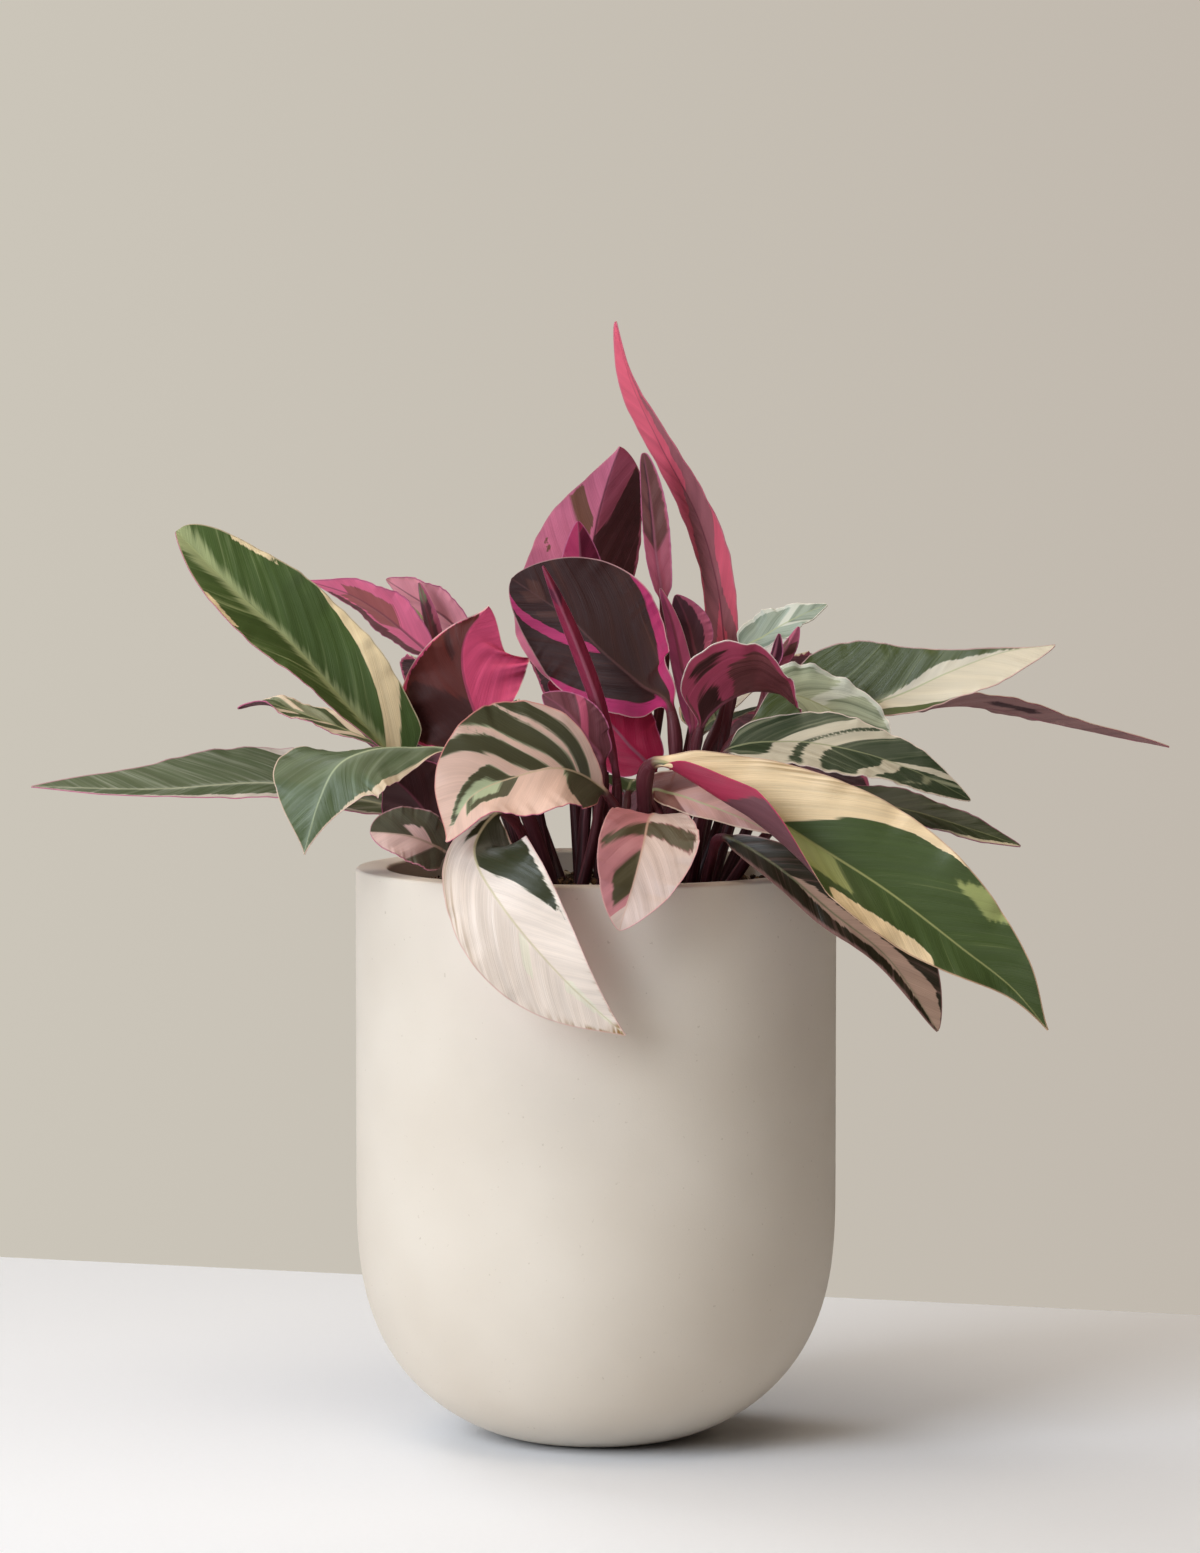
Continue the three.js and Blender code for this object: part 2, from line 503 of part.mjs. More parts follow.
// Joins rings of equal count into one closed skin. The upper half of each ring is split along one
// diagonal and the lower half along its mirror image, so a thin blade's two faces stay alike.
function loftGeometry(rings) {
  const count = rings[0].length;
  const positions = rings.flat().flatMap((point) => [point.x, point.y, point.z]);
  const index = [];
  for (let ring = 0; ring + 1 < rings.length; ring += 1) {
    for (let i = 0; i < count; i += 1) {
      const a = ring * count + i;
      const b = ring * count + ((i + 1) % count);
      const [c, d] = [a + count, b + count];
      const faces = i < count / 2 ? [a, b, d, a, d, c] : [a, b, c, b, d, c];
      index.push(...faces);
    }
  }
  const last = (rings.length - 1) * count;
  for (let i = 1; i + 1 < count; i += 1) {
    index.push(0, i + 1, i);
    index.push(last, last + i, last + i + 1);
  }
  const geometry = new THREE.BufferGeometry();
  geometry.setAttribute('position', new THREE.Float32BufferAttribute(positions, 3));
  geometry.setIndex(index);
  return geometry;
}

function leafGeometry(leaf) {
  return loftGeometry(leafRings(leaf));
}

// A plain hole for one stalk, slanted as the stalk is and a little wider.
function holeGeometry(leaf) {
  const tangent = ribCurve(leaf).getTangent(0);
  const inner = STALK_FOOT_RADIUS * (leaf.stout ?? 1) + SEAT_GAP;
  const radius = inner / Math.cos(Math.PI / HOLE_SIDES);
  const geometry = new THREE.CylinderGeometry(radius, radius, 2 * HOLE_DEPTH, HOLE_SIDES);
  const upright = new THREE.Vector3(0, 1, 0);
  geometry.applyQuaternion(new THREE.Quaternion().setFromUnitVectors(upright, tangent));
  geometry.translate(leaf.root[0], leaf.root[1], SOIL_TOP);
  return geometry;
}

function soilGeometry() {
  const radius = POT_RADIUS - POT_WALL - SEAT_GAP;
  const points = bowlProfile(radius, POT_INNER_REACH, POT_FLOOR + SEAT_GAP);
  points.push(new THREE.Vector2(radius, SOIL_TOP));
  points.push(new THREE.Vector2(0, SOIL_TOP));
  const holes = LEAVES.map((leaf) => toManifold(holeGeometry(leaf)));
  const body = holes.reduce((mix, hole) => mix.subtract(hole), toManifold(turned(points)));
  return toGeometry(body);
}

// ---- Materials -------------------------------------------------------------------------------

function potMaterial() {
  return new THREE.MeshStandardMaterial({ color: '#e2dad0', roughness: 0.78, metalness: 0 });
}

function soilMaterial() {
  return new THREE.MeshStandardMaterial({ color: '#4a3728', roughness: 0.97, metalness: 0 });
}

const TONES = {
  green: '#3f5a36',
  striped: '#7f8a76',
  cream: '#e4d9cc',
  magenta: '#b3496f',
  plum: '#6a3145',
};

function leafMaterial(tone) {
  return new THREE.MeshStandardMaterial({ color: TONES[tone], roughness: 0.5, metalness: 0 });
}

// ---- Assembly --------------------------------------------------------------------------------

function piece(name, geometry, material) {
  const mesh = new THREE.Mesh(geometry, material);
  mesh.name = name;
  return mesh;
}

const plant = new THREE.Group();
plant.name = 'potted_stromanthe_triostar';
plant.add(piece('pot', potGeometry(), potMaterial()));
plant.add(piece('soil', soilGeometry(), soilMaterial()));
for (const leaf of LEAVES) {
  plant.add(piece(leaf.name, leafGeometry(leaf), leafMaterial(leaf.tone)));
}

export default plant;
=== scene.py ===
"""A potted stromanthe triostar: a matt stoneware pot, its potting mix and 43 stalked leaves.

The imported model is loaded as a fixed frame: +Z up, the origin at the centre of the pot's flat base
and -Y the plant's front.  Sizes in this file are millimetres and degrees, and they are turned to
metres where a mesh is filled.  Each leaf is one closed skin that follows the same centre line,
outline, folds and curls as its solid, on a far finer grid, and carries its own markings: the
distance of each point from the edges of its cream and grey-green sectors, which the leaf skins
turn into colour with an edge broken along the side veins.
"""

import logging
import math
from dataclasses import dataclass
from enum import Enum, IntEnum
from typing import Any, Optional, Sequence, Union

import bpy
import numpy as np
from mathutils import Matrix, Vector


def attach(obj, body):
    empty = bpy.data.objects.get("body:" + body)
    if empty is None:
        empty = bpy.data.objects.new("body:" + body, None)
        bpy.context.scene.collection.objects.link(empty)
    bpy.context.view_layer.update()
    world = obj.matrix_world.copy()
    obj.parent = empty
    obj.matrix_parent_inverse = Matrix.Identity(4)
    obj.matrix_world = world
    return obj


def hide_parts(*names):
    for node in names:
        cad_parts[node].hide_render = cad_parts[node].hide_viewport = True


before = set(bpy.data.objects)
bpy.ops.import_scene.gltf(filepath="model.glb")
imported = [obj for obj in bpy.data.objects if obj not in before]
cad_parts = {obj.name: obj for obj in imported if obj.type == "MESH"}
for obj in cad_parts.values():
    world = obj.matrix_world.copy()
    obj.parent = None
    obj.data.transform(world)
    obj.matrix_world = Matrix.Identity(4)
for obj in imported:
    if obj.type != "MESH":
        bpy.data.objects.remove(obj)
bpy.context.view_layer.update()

Array = np.ndarray
Row = Sequence[float]
Course = Union[float, Row]  # one value all the way, or evenly spaced ones along it

MM = 0.001
BODY = "root"
LOG = logging.getLogger("stromanthe")
OBJECT_PLACE = 3  # the texture coordinate output that gives a point's place in its object
VECTOR = 1  # the attribute node's vector output
MIX_SHARE, MIX_UNDER, MIX_OVER, MIX_COLOUR = 0, 6, 7, 2  # a colour mix's inputs and its output

# ---- Driving sizes, the same as the solids' ----------------------------------------------------

POT_RADIUS = 119.5
POT_HEIGHT = 285.0
POT_WALL = 16.0
POT_CURVE_HEIGHT = 130.0
POT_CURVE_REACH = 85.0
POT_INNER_REACH = 76.0
POT_RISE_POWER = 3.0  # how square the curve is against the height
POT_REACH_POWER = 1.6  # and how square it is against the reach
POT_FLOOR = 20.0
POT_RIM_ROUND = 1.5
SOIL_TOP = 273.5
SEAT_GAP = 0.3
HOLE_DEPTH = 12.0

STALK_FOOT_RADIUS = 3.2
STALK_TOP_RADIUS = 2.0
SWELL = 0.3  # how much thicker a stalk is at its swell
SWELL_MIDDLE = 0.84  # the swell's place as a share of the stalk
SWELL_SPAN = 0.1  # and how far it reaches
TIP_HALF_WIDTH = 0.5
RIGHT_WAVE_LEAD = 2.0  # how far the right margin's ripples run ahead of the left's, in radians
FRONT = (0.0, -1.0, 0.0)
SKY = (0.0, 0.0, 1.0)

# ---- Fine surface of a leaf --------------------------------------------------------------------

STALK_RINGS = 18
BLADE_RINGS = 104
HALF_CELLS = 14
RING_POINTS = 4 * HALF_CELLS + 2
RIB_CROWDING = 1.6  # cells stand closer together towards the rib
OPENING_SHARE = 0.08  # the round stalk opens out into the blade over this share of its length
CREASE_SHARE = 0.05  # the fold along the rib is rounded over this share of a half
RIB_THICKNESS = 1.0
MARGIN_THICKNESS = 0.4
RIB_RIDGE = 0.9  # height of the midrib's ridge below the blade, at its base
RIB_RIDGE_WIDTH = 1.5
CREASE_ANGLE = 50.0  # an edge sharper than this, such as a margin's, isn't smoothed over

# A side vein leaves the rib at about 38 degrees and leans further forward on its way out.
VEIN_LEAN = 1.3
VEIN_BEND = 0.02
VEIN_SLANT = 0.5  # distance across the veins for one millimetre along the rib
DEEP = 6.0  # depths in a sector are held within this many millimetres
SHY = 3.2  # how deep the ground lies in its own shade where nothing streaks it
STREAKED = 2.4  # how much of that depth full streaks take away
STEEP = 2.5  # a sector's green turns this much faster than the ground's
HALVES_APART = 0.6  # how far apart the two halves read the noise
LEAVES_APART = 7.3  # how far apart two leaves read it
ROUND_STALK = 0.35  # how far a step round the stalk moves the noise's place
NO_MARGIN = 9.0  # a stalk lies this far from any margin
BROWN_REACH = 0.7  # a browned margin begins at this reach
BROWN_TIP = 0.93  # a browned tip begins at this share of the blade
PUCKER_HEIGHT = 0.35  # how far the skin between side veins rises and falls
PUCKER_SPACING = 17.0
CRINKLE_HEIGHT = 0.5
CRINKLE_COUNT = 11.0  # crinkles along a margin
CRINKLE_WIDTH = 25.0  # a half of this width or more is crinkled in full
CRINKLES_APART = 1.7  # how far apart two leaves' crinkles start, in radians
FINER = 1.7  # how many finer crinkles there are for each crinkle
FINER_HEIGHT = 0.6  # how high they are beside it
FINER_START = 2.3  # how many times further on they start

# ---- Floor, light and camera -------------------------------------------------------------------

FRAME_HEIGHT = 1553  # in pixels, 1200 wide
FOCAL_PIXELS = 6050.0
SENSOR_HEIGHT = 24.0
CAMERA_AT = (2.0, -3000.0, 533.0)
CAMERA_TOWARDS = (2.0, 0.0, 330.0)
CAMERA_SIGHT = 50.0  # the furthest that the camera sees, in metres
LAMPS_TOWARDS = (0.0, 0.0, 0.32)  # the middle of the plant, in metres


class Shade(Enum):
    """How much of its green a sector of a leaf has kept."""

    GREEN = 0
    GREY = 1
    CREAM = 2


class Half(IntEnum):
    """The side of a blade, seen from its base with the upper face towards the eye."""

    LEFT = 0
    RIGHT = 1
    BOTH = 2


class Tone(Enum):
    """The leaves' tones, each of which picks the markings of a leaf that has none of its own."""

    GREEN = "leaf_green"
    STRIPED = "leaf_striped"
    CREAM = "leaf_cream"
    MAGENTA = "leaf_magenta"
    PLUM = "leaf_plum"


@dataclass(frozen=True)
class Skin:
    """A leaf's colours: what each shade looks like from above and from below.

    Attributes:
        green, grey, cream: the upper face's three shades.
        maroon, mauve, pink: the same three shades seen from below.
        rib, keel: the midrib's line above and its ridge below.
        margin, seam: the hairline edge above and below.
        stalk: the leaf stalk.
        streaks: how readily fine streaks break out along the veins, from 0 to 1.
    """

    green: str = "#4c5a36"
    grey: str = "#828b6c"
    cream: str = "#e8d8bd"
    maroon: str = "#44262a"
    mauve: str = "#7d4a55"
    pink: str = "#b9566f"
    rib: str = "#a5ab7c"
    keel: str = "#8a4a5a"
    margin: str = "#d8bda8"
    seam: str = "#c2688c"
    stalk: str = "#5a262e"
    streaks: float = 0.35


@dataclass(frozen=True)
class Patch:
    """A sector of a blade in one shade.

    Attributes:
        shade: its shade.
        half: the half it lies in.
        start, end: the side veins it lies between, as shares of the blade's length at which they
            leave the rib, each one number or a row from the rib out to the margin.
        inner, outer: the reaches it lies between, from 0 at the rib to 1 at the margin, each one
            number or a row from base to tip.
    """

    shade: Shade
    half: Half
    start: Course = -3.0
    end: Course = 3.0
    inner: Course = -1.0
    outer: Course = 3.0


@dataclass(frozen=True)
class Marks:
    """A leaf's markings.

    Attributes:
        skin: its colours.
        ground: its main shade.
        patches: the sectors laid over the ground in order.
        flame: half-width in millimetres, from base to tip, of the feathered grey-green band along
            the midrib.
        browned: how dry and brown each margin is, from base to tip, from 0 to 1.
        crinkle: how much the margins crinkle.
        lean, bend: how far forward a side vein leans on its way out, and how much more further out.
    """

    skin: Skin = Skin()
    ground: Shade = Shade.GREEN
    patches: Sequence[Patch] = ()
    flame: Course = -DEEP
    browned: Sequence[Course] = (0.0, 0.0)
    crinkle: float = 1.0
    lean: float = VEIN_LEAN
    bend: float = VEIN_BEND


# ---- Curves and surfaces -----------------------------------------------------------------------


def along(values: Course, share: Array) -> Array:
    """Reads a course of values at shares from 0 to 1, in straight steps."""
    row = np.atleast_1d(values)
    return np.interp(share, np.linspace(0.0, 1.0, len(row)), row)


def smooth(share: Array) -> Array:
    """Eases a share from 0 to 1 as three squares less two cubes, held at both ends."""
    held = np.clip(share, 0.0, 1.0)
    return held * held * (3.0 - 2.0 * held)


def unit(vectors: Array) -> Array:
    """Scales each row to length one."""
    return vectors / np.linalg.norm(vectors, axis=-1, keepdims=True)


def catmull_rom(points: Array, place: Array) -> tuple[Array, Array]:
    """Follows a smooth curve through points.

    Between two neighbours the curve is a cubic whose slope at each end is half the step from the
    point before to the point after. Beyond the ends the line of points is carried straight on.

    Args:
        points: the points, one a row.
        place: shares of the way along, with every stretch between points counted alike.

    Returns:
        The curve's points and its unit tangents.
    """
    before = 2.0 * points[:1] - points[1:2]
    after = 2.0 * points[-1:] - points[-2:-1]
    line = np.concatenate([before, points, after])
    spot = np.clip(place, 0.0, 1.0) * (len(points) - 1)
    low = np.minimum(spot.astype(int), len(points) - 2)
    u = (spot - low)[:, None]
    start, end = line[low + 1], line[low + 2]
    leave = 0.5 * (line[low + 2] - line[low])
    arrive = 0.5 * (line[low + 3] - line[low + 1])
    square = 3.0 * (end - start) - 2.0 * leave - arrive
    cube = 2.0 * (start - end) + leave + arrive
    tangent = leave + 2.0 * square * u + 3.0 * cube * u**2
    return start + leave * u + square * u**2 + cube * u**3, unit(tangent)


def linear(hex_colour: str) -> tuple[float, float, float, float]:
    """Turns an sRGB hex colour into the linear colour that a shader socket takes.

    A channel up to 0.04045 is divided by 12.92. Above that it is 0.055 more, divided by 1.055, to
    the power of 2.4.

    Args:
        hex_colour: the colour, such as #e6dbcc.

    Returns:
        Its red, green and blue from 0 to 1, and an alpha of one.
    """
    parts = np.array([int(hex_colour[i : i + 2], 16) for i in (1, 3, 5)]) / 255.0
    light = np.where(parts <= 0.04045, parts / 12.92, ((parts + 0.055) / 1.055) ** 2.4)
    return (float(light[0]), float(light[1]), float(light[2]), 1.0)


def new_piece(
    name: str,
    points: Array,
    faces: Sequence[Sequence[int]],
    materials: Sequence[bpy.types.Material],
    face_materials: Optional[Array] = None,
) -> bpy.types.Object:
    """Makes a smooth-shaded mesh object at the origin.

    Args:
        name: the piece's name.
        points: corners in millimetres, one a row.
        faces: corner numbers, anticlockwise from outside.
        materials: the piece's materials in slot order.
        face_materials: the slot of each face, or None where all take the first.

    Returns:
        The new object, linked to the scene.
    """
    mesh = bpy.data.meshes.new(name)
    mesh.from_pydata((np.asarray(points) * MM).tolist(), [], faces)
    mesh.polygons.foreach_set("use_smooth", np.ones(len(mesh.polygons), bool))
    for material in materials:
        mesh.materials.append(material)
    if face_materials is not None:
        mesh.polygons.foreach_set("material_index", face_materials.astype(np.int32))
    mesh.set_sharp_from_angle(angle=math.radians(CREASE_ANGLE))
    mesh.update()
    piece = bpy.data.objects.new(name, mesh)
    bpy.context.scene.collection.objects.link(piece)
    return piece


def write_attribute(piece: bpy.types.Object, name: str, rows: Array) -> None:
    """Writes three numbers a corner to the mesh as a named vector attribute."""
    layer = piece.data.attributes.new(name, "FLOAT_VECTOR", "POINT")
    layer.data.foreach_set("vector", np.ascontiguousarray(rows, np.float32).ravel())


def place_piece(piece: bpy.types.Object, node: str) -> None:
    """Lets a piece ride on the plant and stand for its solid.

    Args:
        piece: the finished piece.
        node: the solid's name.
    """
    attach(piece, BODY)
    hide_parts(node)
    LOG.info("%s: %d faces", piece.name, len(piece.data.polygons))


def closed_faces(rings: int, count: int) -> list[list[int]]:
    """Numbers the faces of a skin of closed rings that ends in a point at both ends.

    Four-sided faces lie between the rings, and a fan of three-sided ones over each end. The two
    end points come after the rings' points, the first ring's before the last one's.

    Args:
        rings: how many rings there are.
        count: how many points each has.

    Returns:
        Each face's corner numbers: ring after ring, and then the two fans.
    """
    spot = np.arange(count)
    step = (spot + 1) % count
    ring = np.arange(rings - 1)[:, None] * count
    bands = np.stack([ring + spot, ring + step, ring + count + step, ring + count + spot], axis=-1)
    last, end = (rings - 1) * count, rings * count
    first_fan = np.stack([np.full(count, end), step, spot], axis=-1)
    last_fan = np.stack([np.full(count, end + 1), last + spot, last + step], axis=-1)
    return bands.reshape(-1, 4).tolist() + first_fan.tolist() + last_fan.tolist()


def revolve(profile: Array, sides: int) -> tuple[Array, list[list[int]]]:
    """Turns a profile round the upright axis into a closed skin.

    Args:
        profile: radius and height of each step, from the axis at the bottom, round the outside
            and back to the axis; the first and last step are the poles.
        sides: how many steps the turn has.

    Returns:
        The corners, and faces that look outwards.
    """
    turn = np.linspace(0.0, 2.0 * np.pi, sides, endpoint=False)
    radius, height = profile[1:-1, :1], profile[1:-1, 1:]
    rings = np.stack(
        [radius * np.cos(turn), radius * np.sin(turn), height + 0.0 * turn], axis=-1
    )
    poles = np.array([[0.0, 0.0, profile[0, 1]], [0.0, 0.0, profile[-1, 1]]])
    return np.concatenate([rings.reshape(-1, 3), poles]), closed_faces(len(rings), sides)


# ---- Finishes ----------------------------------------------------------------------------------


def add_node(
    tree: bpy.types.NodeTree,
    kind: str,
    inputs: Any = (),
    output: int = 0,
    **settings: Any,
) -> bpy.types.NodeSocket:
    """Adds a shader node with its settings, and links or sets its inputs.

    Args:
        tree: the material's or world's node tree.
        kind: the node's type, less its prefix ShaderNode.
        inputs: outputs to link, values to set or hex colours, in the order of the node's
            sockets or by a socket's name or number.
        output: which of its outputs to hand back.
        settings: the node's own properties.

    Returns:
        The output.
    """
    node = tree.nodes.new("ShaderNode" + kind)
    for name, value in settings.items():
        setattr(node, name, value)
    pairs = inputs.items() if isinstance(inputs, dict) else enumerate(inputs)
    for key, source in pairs:
        if isinstance(source, bpy.types.NodeSocket):
            tree.links.new(source, node.inputs[key])
        else:
            node.inputs[key].default_value = linear(source) if isinstance(source, str) else source
    return node.outputs[output]


def new_material(name: str) -> tuple[bpy.types.Material, bpy.types.NodeTree]:
    """Starts a material with one plain shader.

    Args:
        name: the material's name.

    Returns:
        The material and its node tree.
    """
    material = bpy.data.materials.new(name)
    material.use_nodes = True
    return material, material.node_tree


def layered(
    tree: bpy.types.NodeTree,
    ground: Union[str, bpy.types.NodeSocket],
    coats: Sequence[tuple[bpy.types.NodeSocket, str]],
) -> bpy.types.NodeSocket:
    """Lays colours over a ground, one after another.

    Args:
        tree: the material's or world's node tree.
        ground: the lowest colour, hex or an output.
        coats: for each colour over it, how much it covers and the colour.

    Returns:
        The finished colour.
    """
    for cover, coat in coats:
        inputs = {MIX_SHARE: cover, MIX_UNDER: ground, MIX_OVER: coat}
        ground = add_node(tree, "Mix", inputs, MIX_COLOUR, data_type="RGBA")
    return ground


def finish_material(
    tree: bpy.types.NodeTree,
    colour: bpy.types.NodeSocket,
    relief: bpy.types.NodeSocket,
    depth: float,
    roughness: Union[float, bpy.types.NodeSocket],
    shine: float,
) -> None:
    """Links a finish to the plain shader.

    Args:
        tree: the material's node tree.
        colour: its colour.
        relief: its fine relief, from 0 to 1.
        depth: the relief's depth in millimetres.
        roughness: how matt it is, a value or an output.
        shine: how strongly it mirrors, a half for a plain varnish.
    """
    shader = tree.nodes["Principled BSDF"]
    bump = add_node(tree, "Bump", {"Height": relief, "Distance": depth * MM, "Strength": 1.0})
    tree.links.new(colour, shader.inputs["Base Color"])
    tree.links.new(bump, shader.inputs["Normal"])
    shader.inputs["Specular IOR Level"].default_value = shine
    if isinstance(roughness, bpy.types.NodeSocket):
        tree.links.new(roughness, shader.inputs["Roughness"])
    else:
        shader.inputs["Roughness"].default_value = roughness


@dataclass(frozen=True)
class LeafFace:
    """One face of a leaf: a thin waxy skin over living tissue, satin, with fine raised veins.

    Its three shades stand in sectors along the side veins, and each sector's edge is broken into
    long teeth that follow the veins. The veins show as faint lines about a millimetre apart and
    break up the gloss.

    Attributes:
        name: the material's name.
        dark, middle, pale: colours of the three shades.
        rib, margin, stalk: colours of the midrib's line, the hairline edge and the stalk.
        scorch: the brown of dried tissue.
        rib_width: half-width of the midrib's line at the blade's base, in millimetres.
        ragged: how far noise along the veins moves a cream sector's edge, in millimetres.
        feather: how far it moves a grey-green one's.
        vein_turn: how far a side vein's swell turns in a millimetre of the vein coordinate.
        gloss: the roughness of the skin between its veins.
        matt: the roughness on its veins.
        shine: how strongly the wax mirrors.
        relief: the veins' height in millimetres.
    """

    name: str
    dark: str
    middle: str
    pale: str
    rib: str
    margin: str
    stalk: str
    scorch: str = "#a07a48"
    rib_width: float = 0.8
    ragged: float = 3.0
    feather: float = 8.0
    vein_turn: float = 0.7
    gloss: float = 0.28
    matt: float = 0.46
    shine: float = 0.35
    relief: float = 0.15

    def material(self) -> bpy.types.Material:
        """Builds the skin's material.

        The teeth come from noise stretched along the veins, added to each sector's depth before
        the depth is cut into inside and outside.

        Returns:
            A material that reads the leaf's vein, marks and place attributes.
        """
        material, tree = new_material(self.name)
        vein, marks, place = (
            add_node(tree, "Attribute", output=VECTOR, attribute_name=name)
            for name in ("vein", "marks", "place")
        )
        begun, from_rib, _ = add_node(tree, "SeparateXYZ", [vein]).node.outputs
        cream, grey, brown = add_node(tree, "SeparateXYZ", [marks]).node.outputs
        share, from_margin, _ = add_node(tree, "SeparateXYZ", [place]).node.outputs

        # Three patterns, each long along a vein and narrow across it: how often each turns in a
        # millimetre across the veins and along them, and how much finer detail lies on it.
        patterns = []
        for wide, long, detail in ((0.3, 0.03, 3.0), (1.5, 0.05, 2.0), (0.09, 0.02, 1.0)):
            way = add_node(tree, "VectorMath", [vein, (wide, long, 1.0)], operation="MULTIPLY")
            inputs = {"Vector": way, "Scale": 1.0, "Detail": detail}
            patterns.append(add_node(tree, "TexNoise", inputs))
        streak, fine, broad = patterns
        noise = add_node(tree, "Math", [fine, 0.3, -0.65], operation="MULTIPLY_ADD")
        noise = add_node(tree, "Math", [streak, noise], operation="ADD")

        # The sectors' depths, moved in and out by the noise, are cut into inside and outside.
        cream = add_node(tree, "Math", [noise, self.ragged, cream], operation="MULTIPLY_ADD")
        cream = add_node(tree, "MapRange", [cream, -0.4, 0.4], interpolation_type="SMOOTHSTEP")
        cloud = add_node(tree, "Math", [broad, 4.0, -2.0], operation="MULTIPLY_ADD")
        grey = add_node(tree, "Math", [noise, self.feather, grey], operation="MULTIPLY_ADD")
        grey = add_node(tree, "Math", [grey, cloud], operation="ADD")
        grey = add_node(tree, "MapRange", [grey, -2.2, 2.2], interpolation_type="SMOOTHSTEP")

        # Each vein's swell, with faint clouds and lines, lightens and darkens the colour a little.
        swell = add_node(tree, "Math", [begun, self.vein_turn], operation="MULTIPLY")
        swell = add_node(tree, "Math", [broad, 9.0, swell], operation="MULTIPLY_ADD")
        swell = add_node(tree, "Math", [swell], operation="SINE")
        clouding = add_node(tree, "MapRange", [broad, 0.3, 0.7, 0.92, 1.08])
        lines = add_node(tree, "MapRange", [fine, 0.3, 0.7, 0.95, 1.05])
        lines = add_node(tree, "Math", [swell, 0.02, lines], operation="MULTIPLY_ADD")
        value = add_node(tree, "Math", [clouding, lines], operation="MULTIPLY")
        dried = add_node(tree, "MapRange", [streak, 0.42, 0.6])
        dried = add_node(tree, "Math", [dried, brown], operation="MULTIPLY")

        # The midrib's line narrows to a fifth of its width at the tip.
        narrowing = (-0.8 * self.rib_width, self.rib_width)
        width = add_node(tree, "Math", [share, *narrowing], operation="MULTIPLY_ADD")
        off_rib = add_node(tree, "Math", [from_rib], operation="ABSOLUTE")
        off_rib = add_node(tree, "Math", [off_rib, width], operation="SUBTRACT")
        on_rib = add_node(tree, "MapRange", [off_rib, -0.35, 0.35, 0.8, 0.0])
        edge = add_node(tree, "MapRange", [from_margin, 0.3, 0.8, 0.9, 0.0])
        base = add_node(tree, "MapRange", [share, 0.0, 0.04, 1.0, 0.0])

        colour = layered(tree, self.dark, [(grey, self.middle), (cream, self.pale)])
        colour = add_node(tree, "HueSaturation", {"Value": value, "Color": colour})
        coats = [(dried, self.scorch), (on_rib, self.rib), (edge, self.margin), (base, self.stalk)]
        colour = layered(tree, colour, coats)

        height = add_node(tree, "Math", [fine, streak], operation="ADD")
        height = add_node(tree, "Math", [swell, 0.14, height], operation="MULTIPLY_ADD")
        roughness = add_node(tree, "MapRange", [fine, 0.3, 0.7, self.gloss, self.matt])
        finish_material(tree, colour, height, self.relief, roughness, self.shine)
        return material


@dataclass(frozen=True)
class Stalk:
    """A leaf stalk: smooth, round and fleshy, with a waxy skin streaked along its length.

    Attributes:
        name: the material's name.
        colour: the stalk's main colour.
        foot_shade: the darker colour towards its foot, painted shade where it stands in the pot
            under the leaves.
        light: the colour of its long pale streaks.
        shine: how strongly the wax mirrors.
        relief: the streaks' height in millimetres.
    """

    name: str
    colour: str
    foot_shade: str = "#2c1418"
    light: str = "#8a5058"
    shine: float = 0.3
    relief: float = 0.3

    def material(self) -> bpy.types.Material:
        """Builds the stalk's material.

        Returns:
            A material that reads the leaf's vein and place attributes.
        """
        material, tree = new_material(self.name)
        vein = add_node(tree, "Attribute", output=VECTOR, attribute_name="vein")
        place = add_node(tree, "Attribute", output=VECTOR, attribute_name="place")
        share = add_node(tree, "SeparateXYZ", [place])
        way = add_node(tree, "VectorMath", [vein, (0.9, 0.03, 1.0)], operation="MULTIPLY")
        streak = add_node(tree, "TexNoise", {"Vector": way, "Scale": 1.0, "Detail": 3.0})
        # Painted shade: the stalk darkens towards its foot, down in the pot under the leaves.
        up = add_node(tree, "MapRange", [share, -1.0, -0.35])
        light = add_node(tree, "MapRange", [streak, 0.5, 0.72, 0.0, 0.55])
        colour = layered(tree, self.foot_shade, [(up, self.colour), (light, self.light)])
        roughness = add_node(tree, "MapRange", [streak, 0.3, 0.7, 0.34, 0.5])
        finish_material(tree, colour, streak, self.relief, roughness, self.shine)
        return material


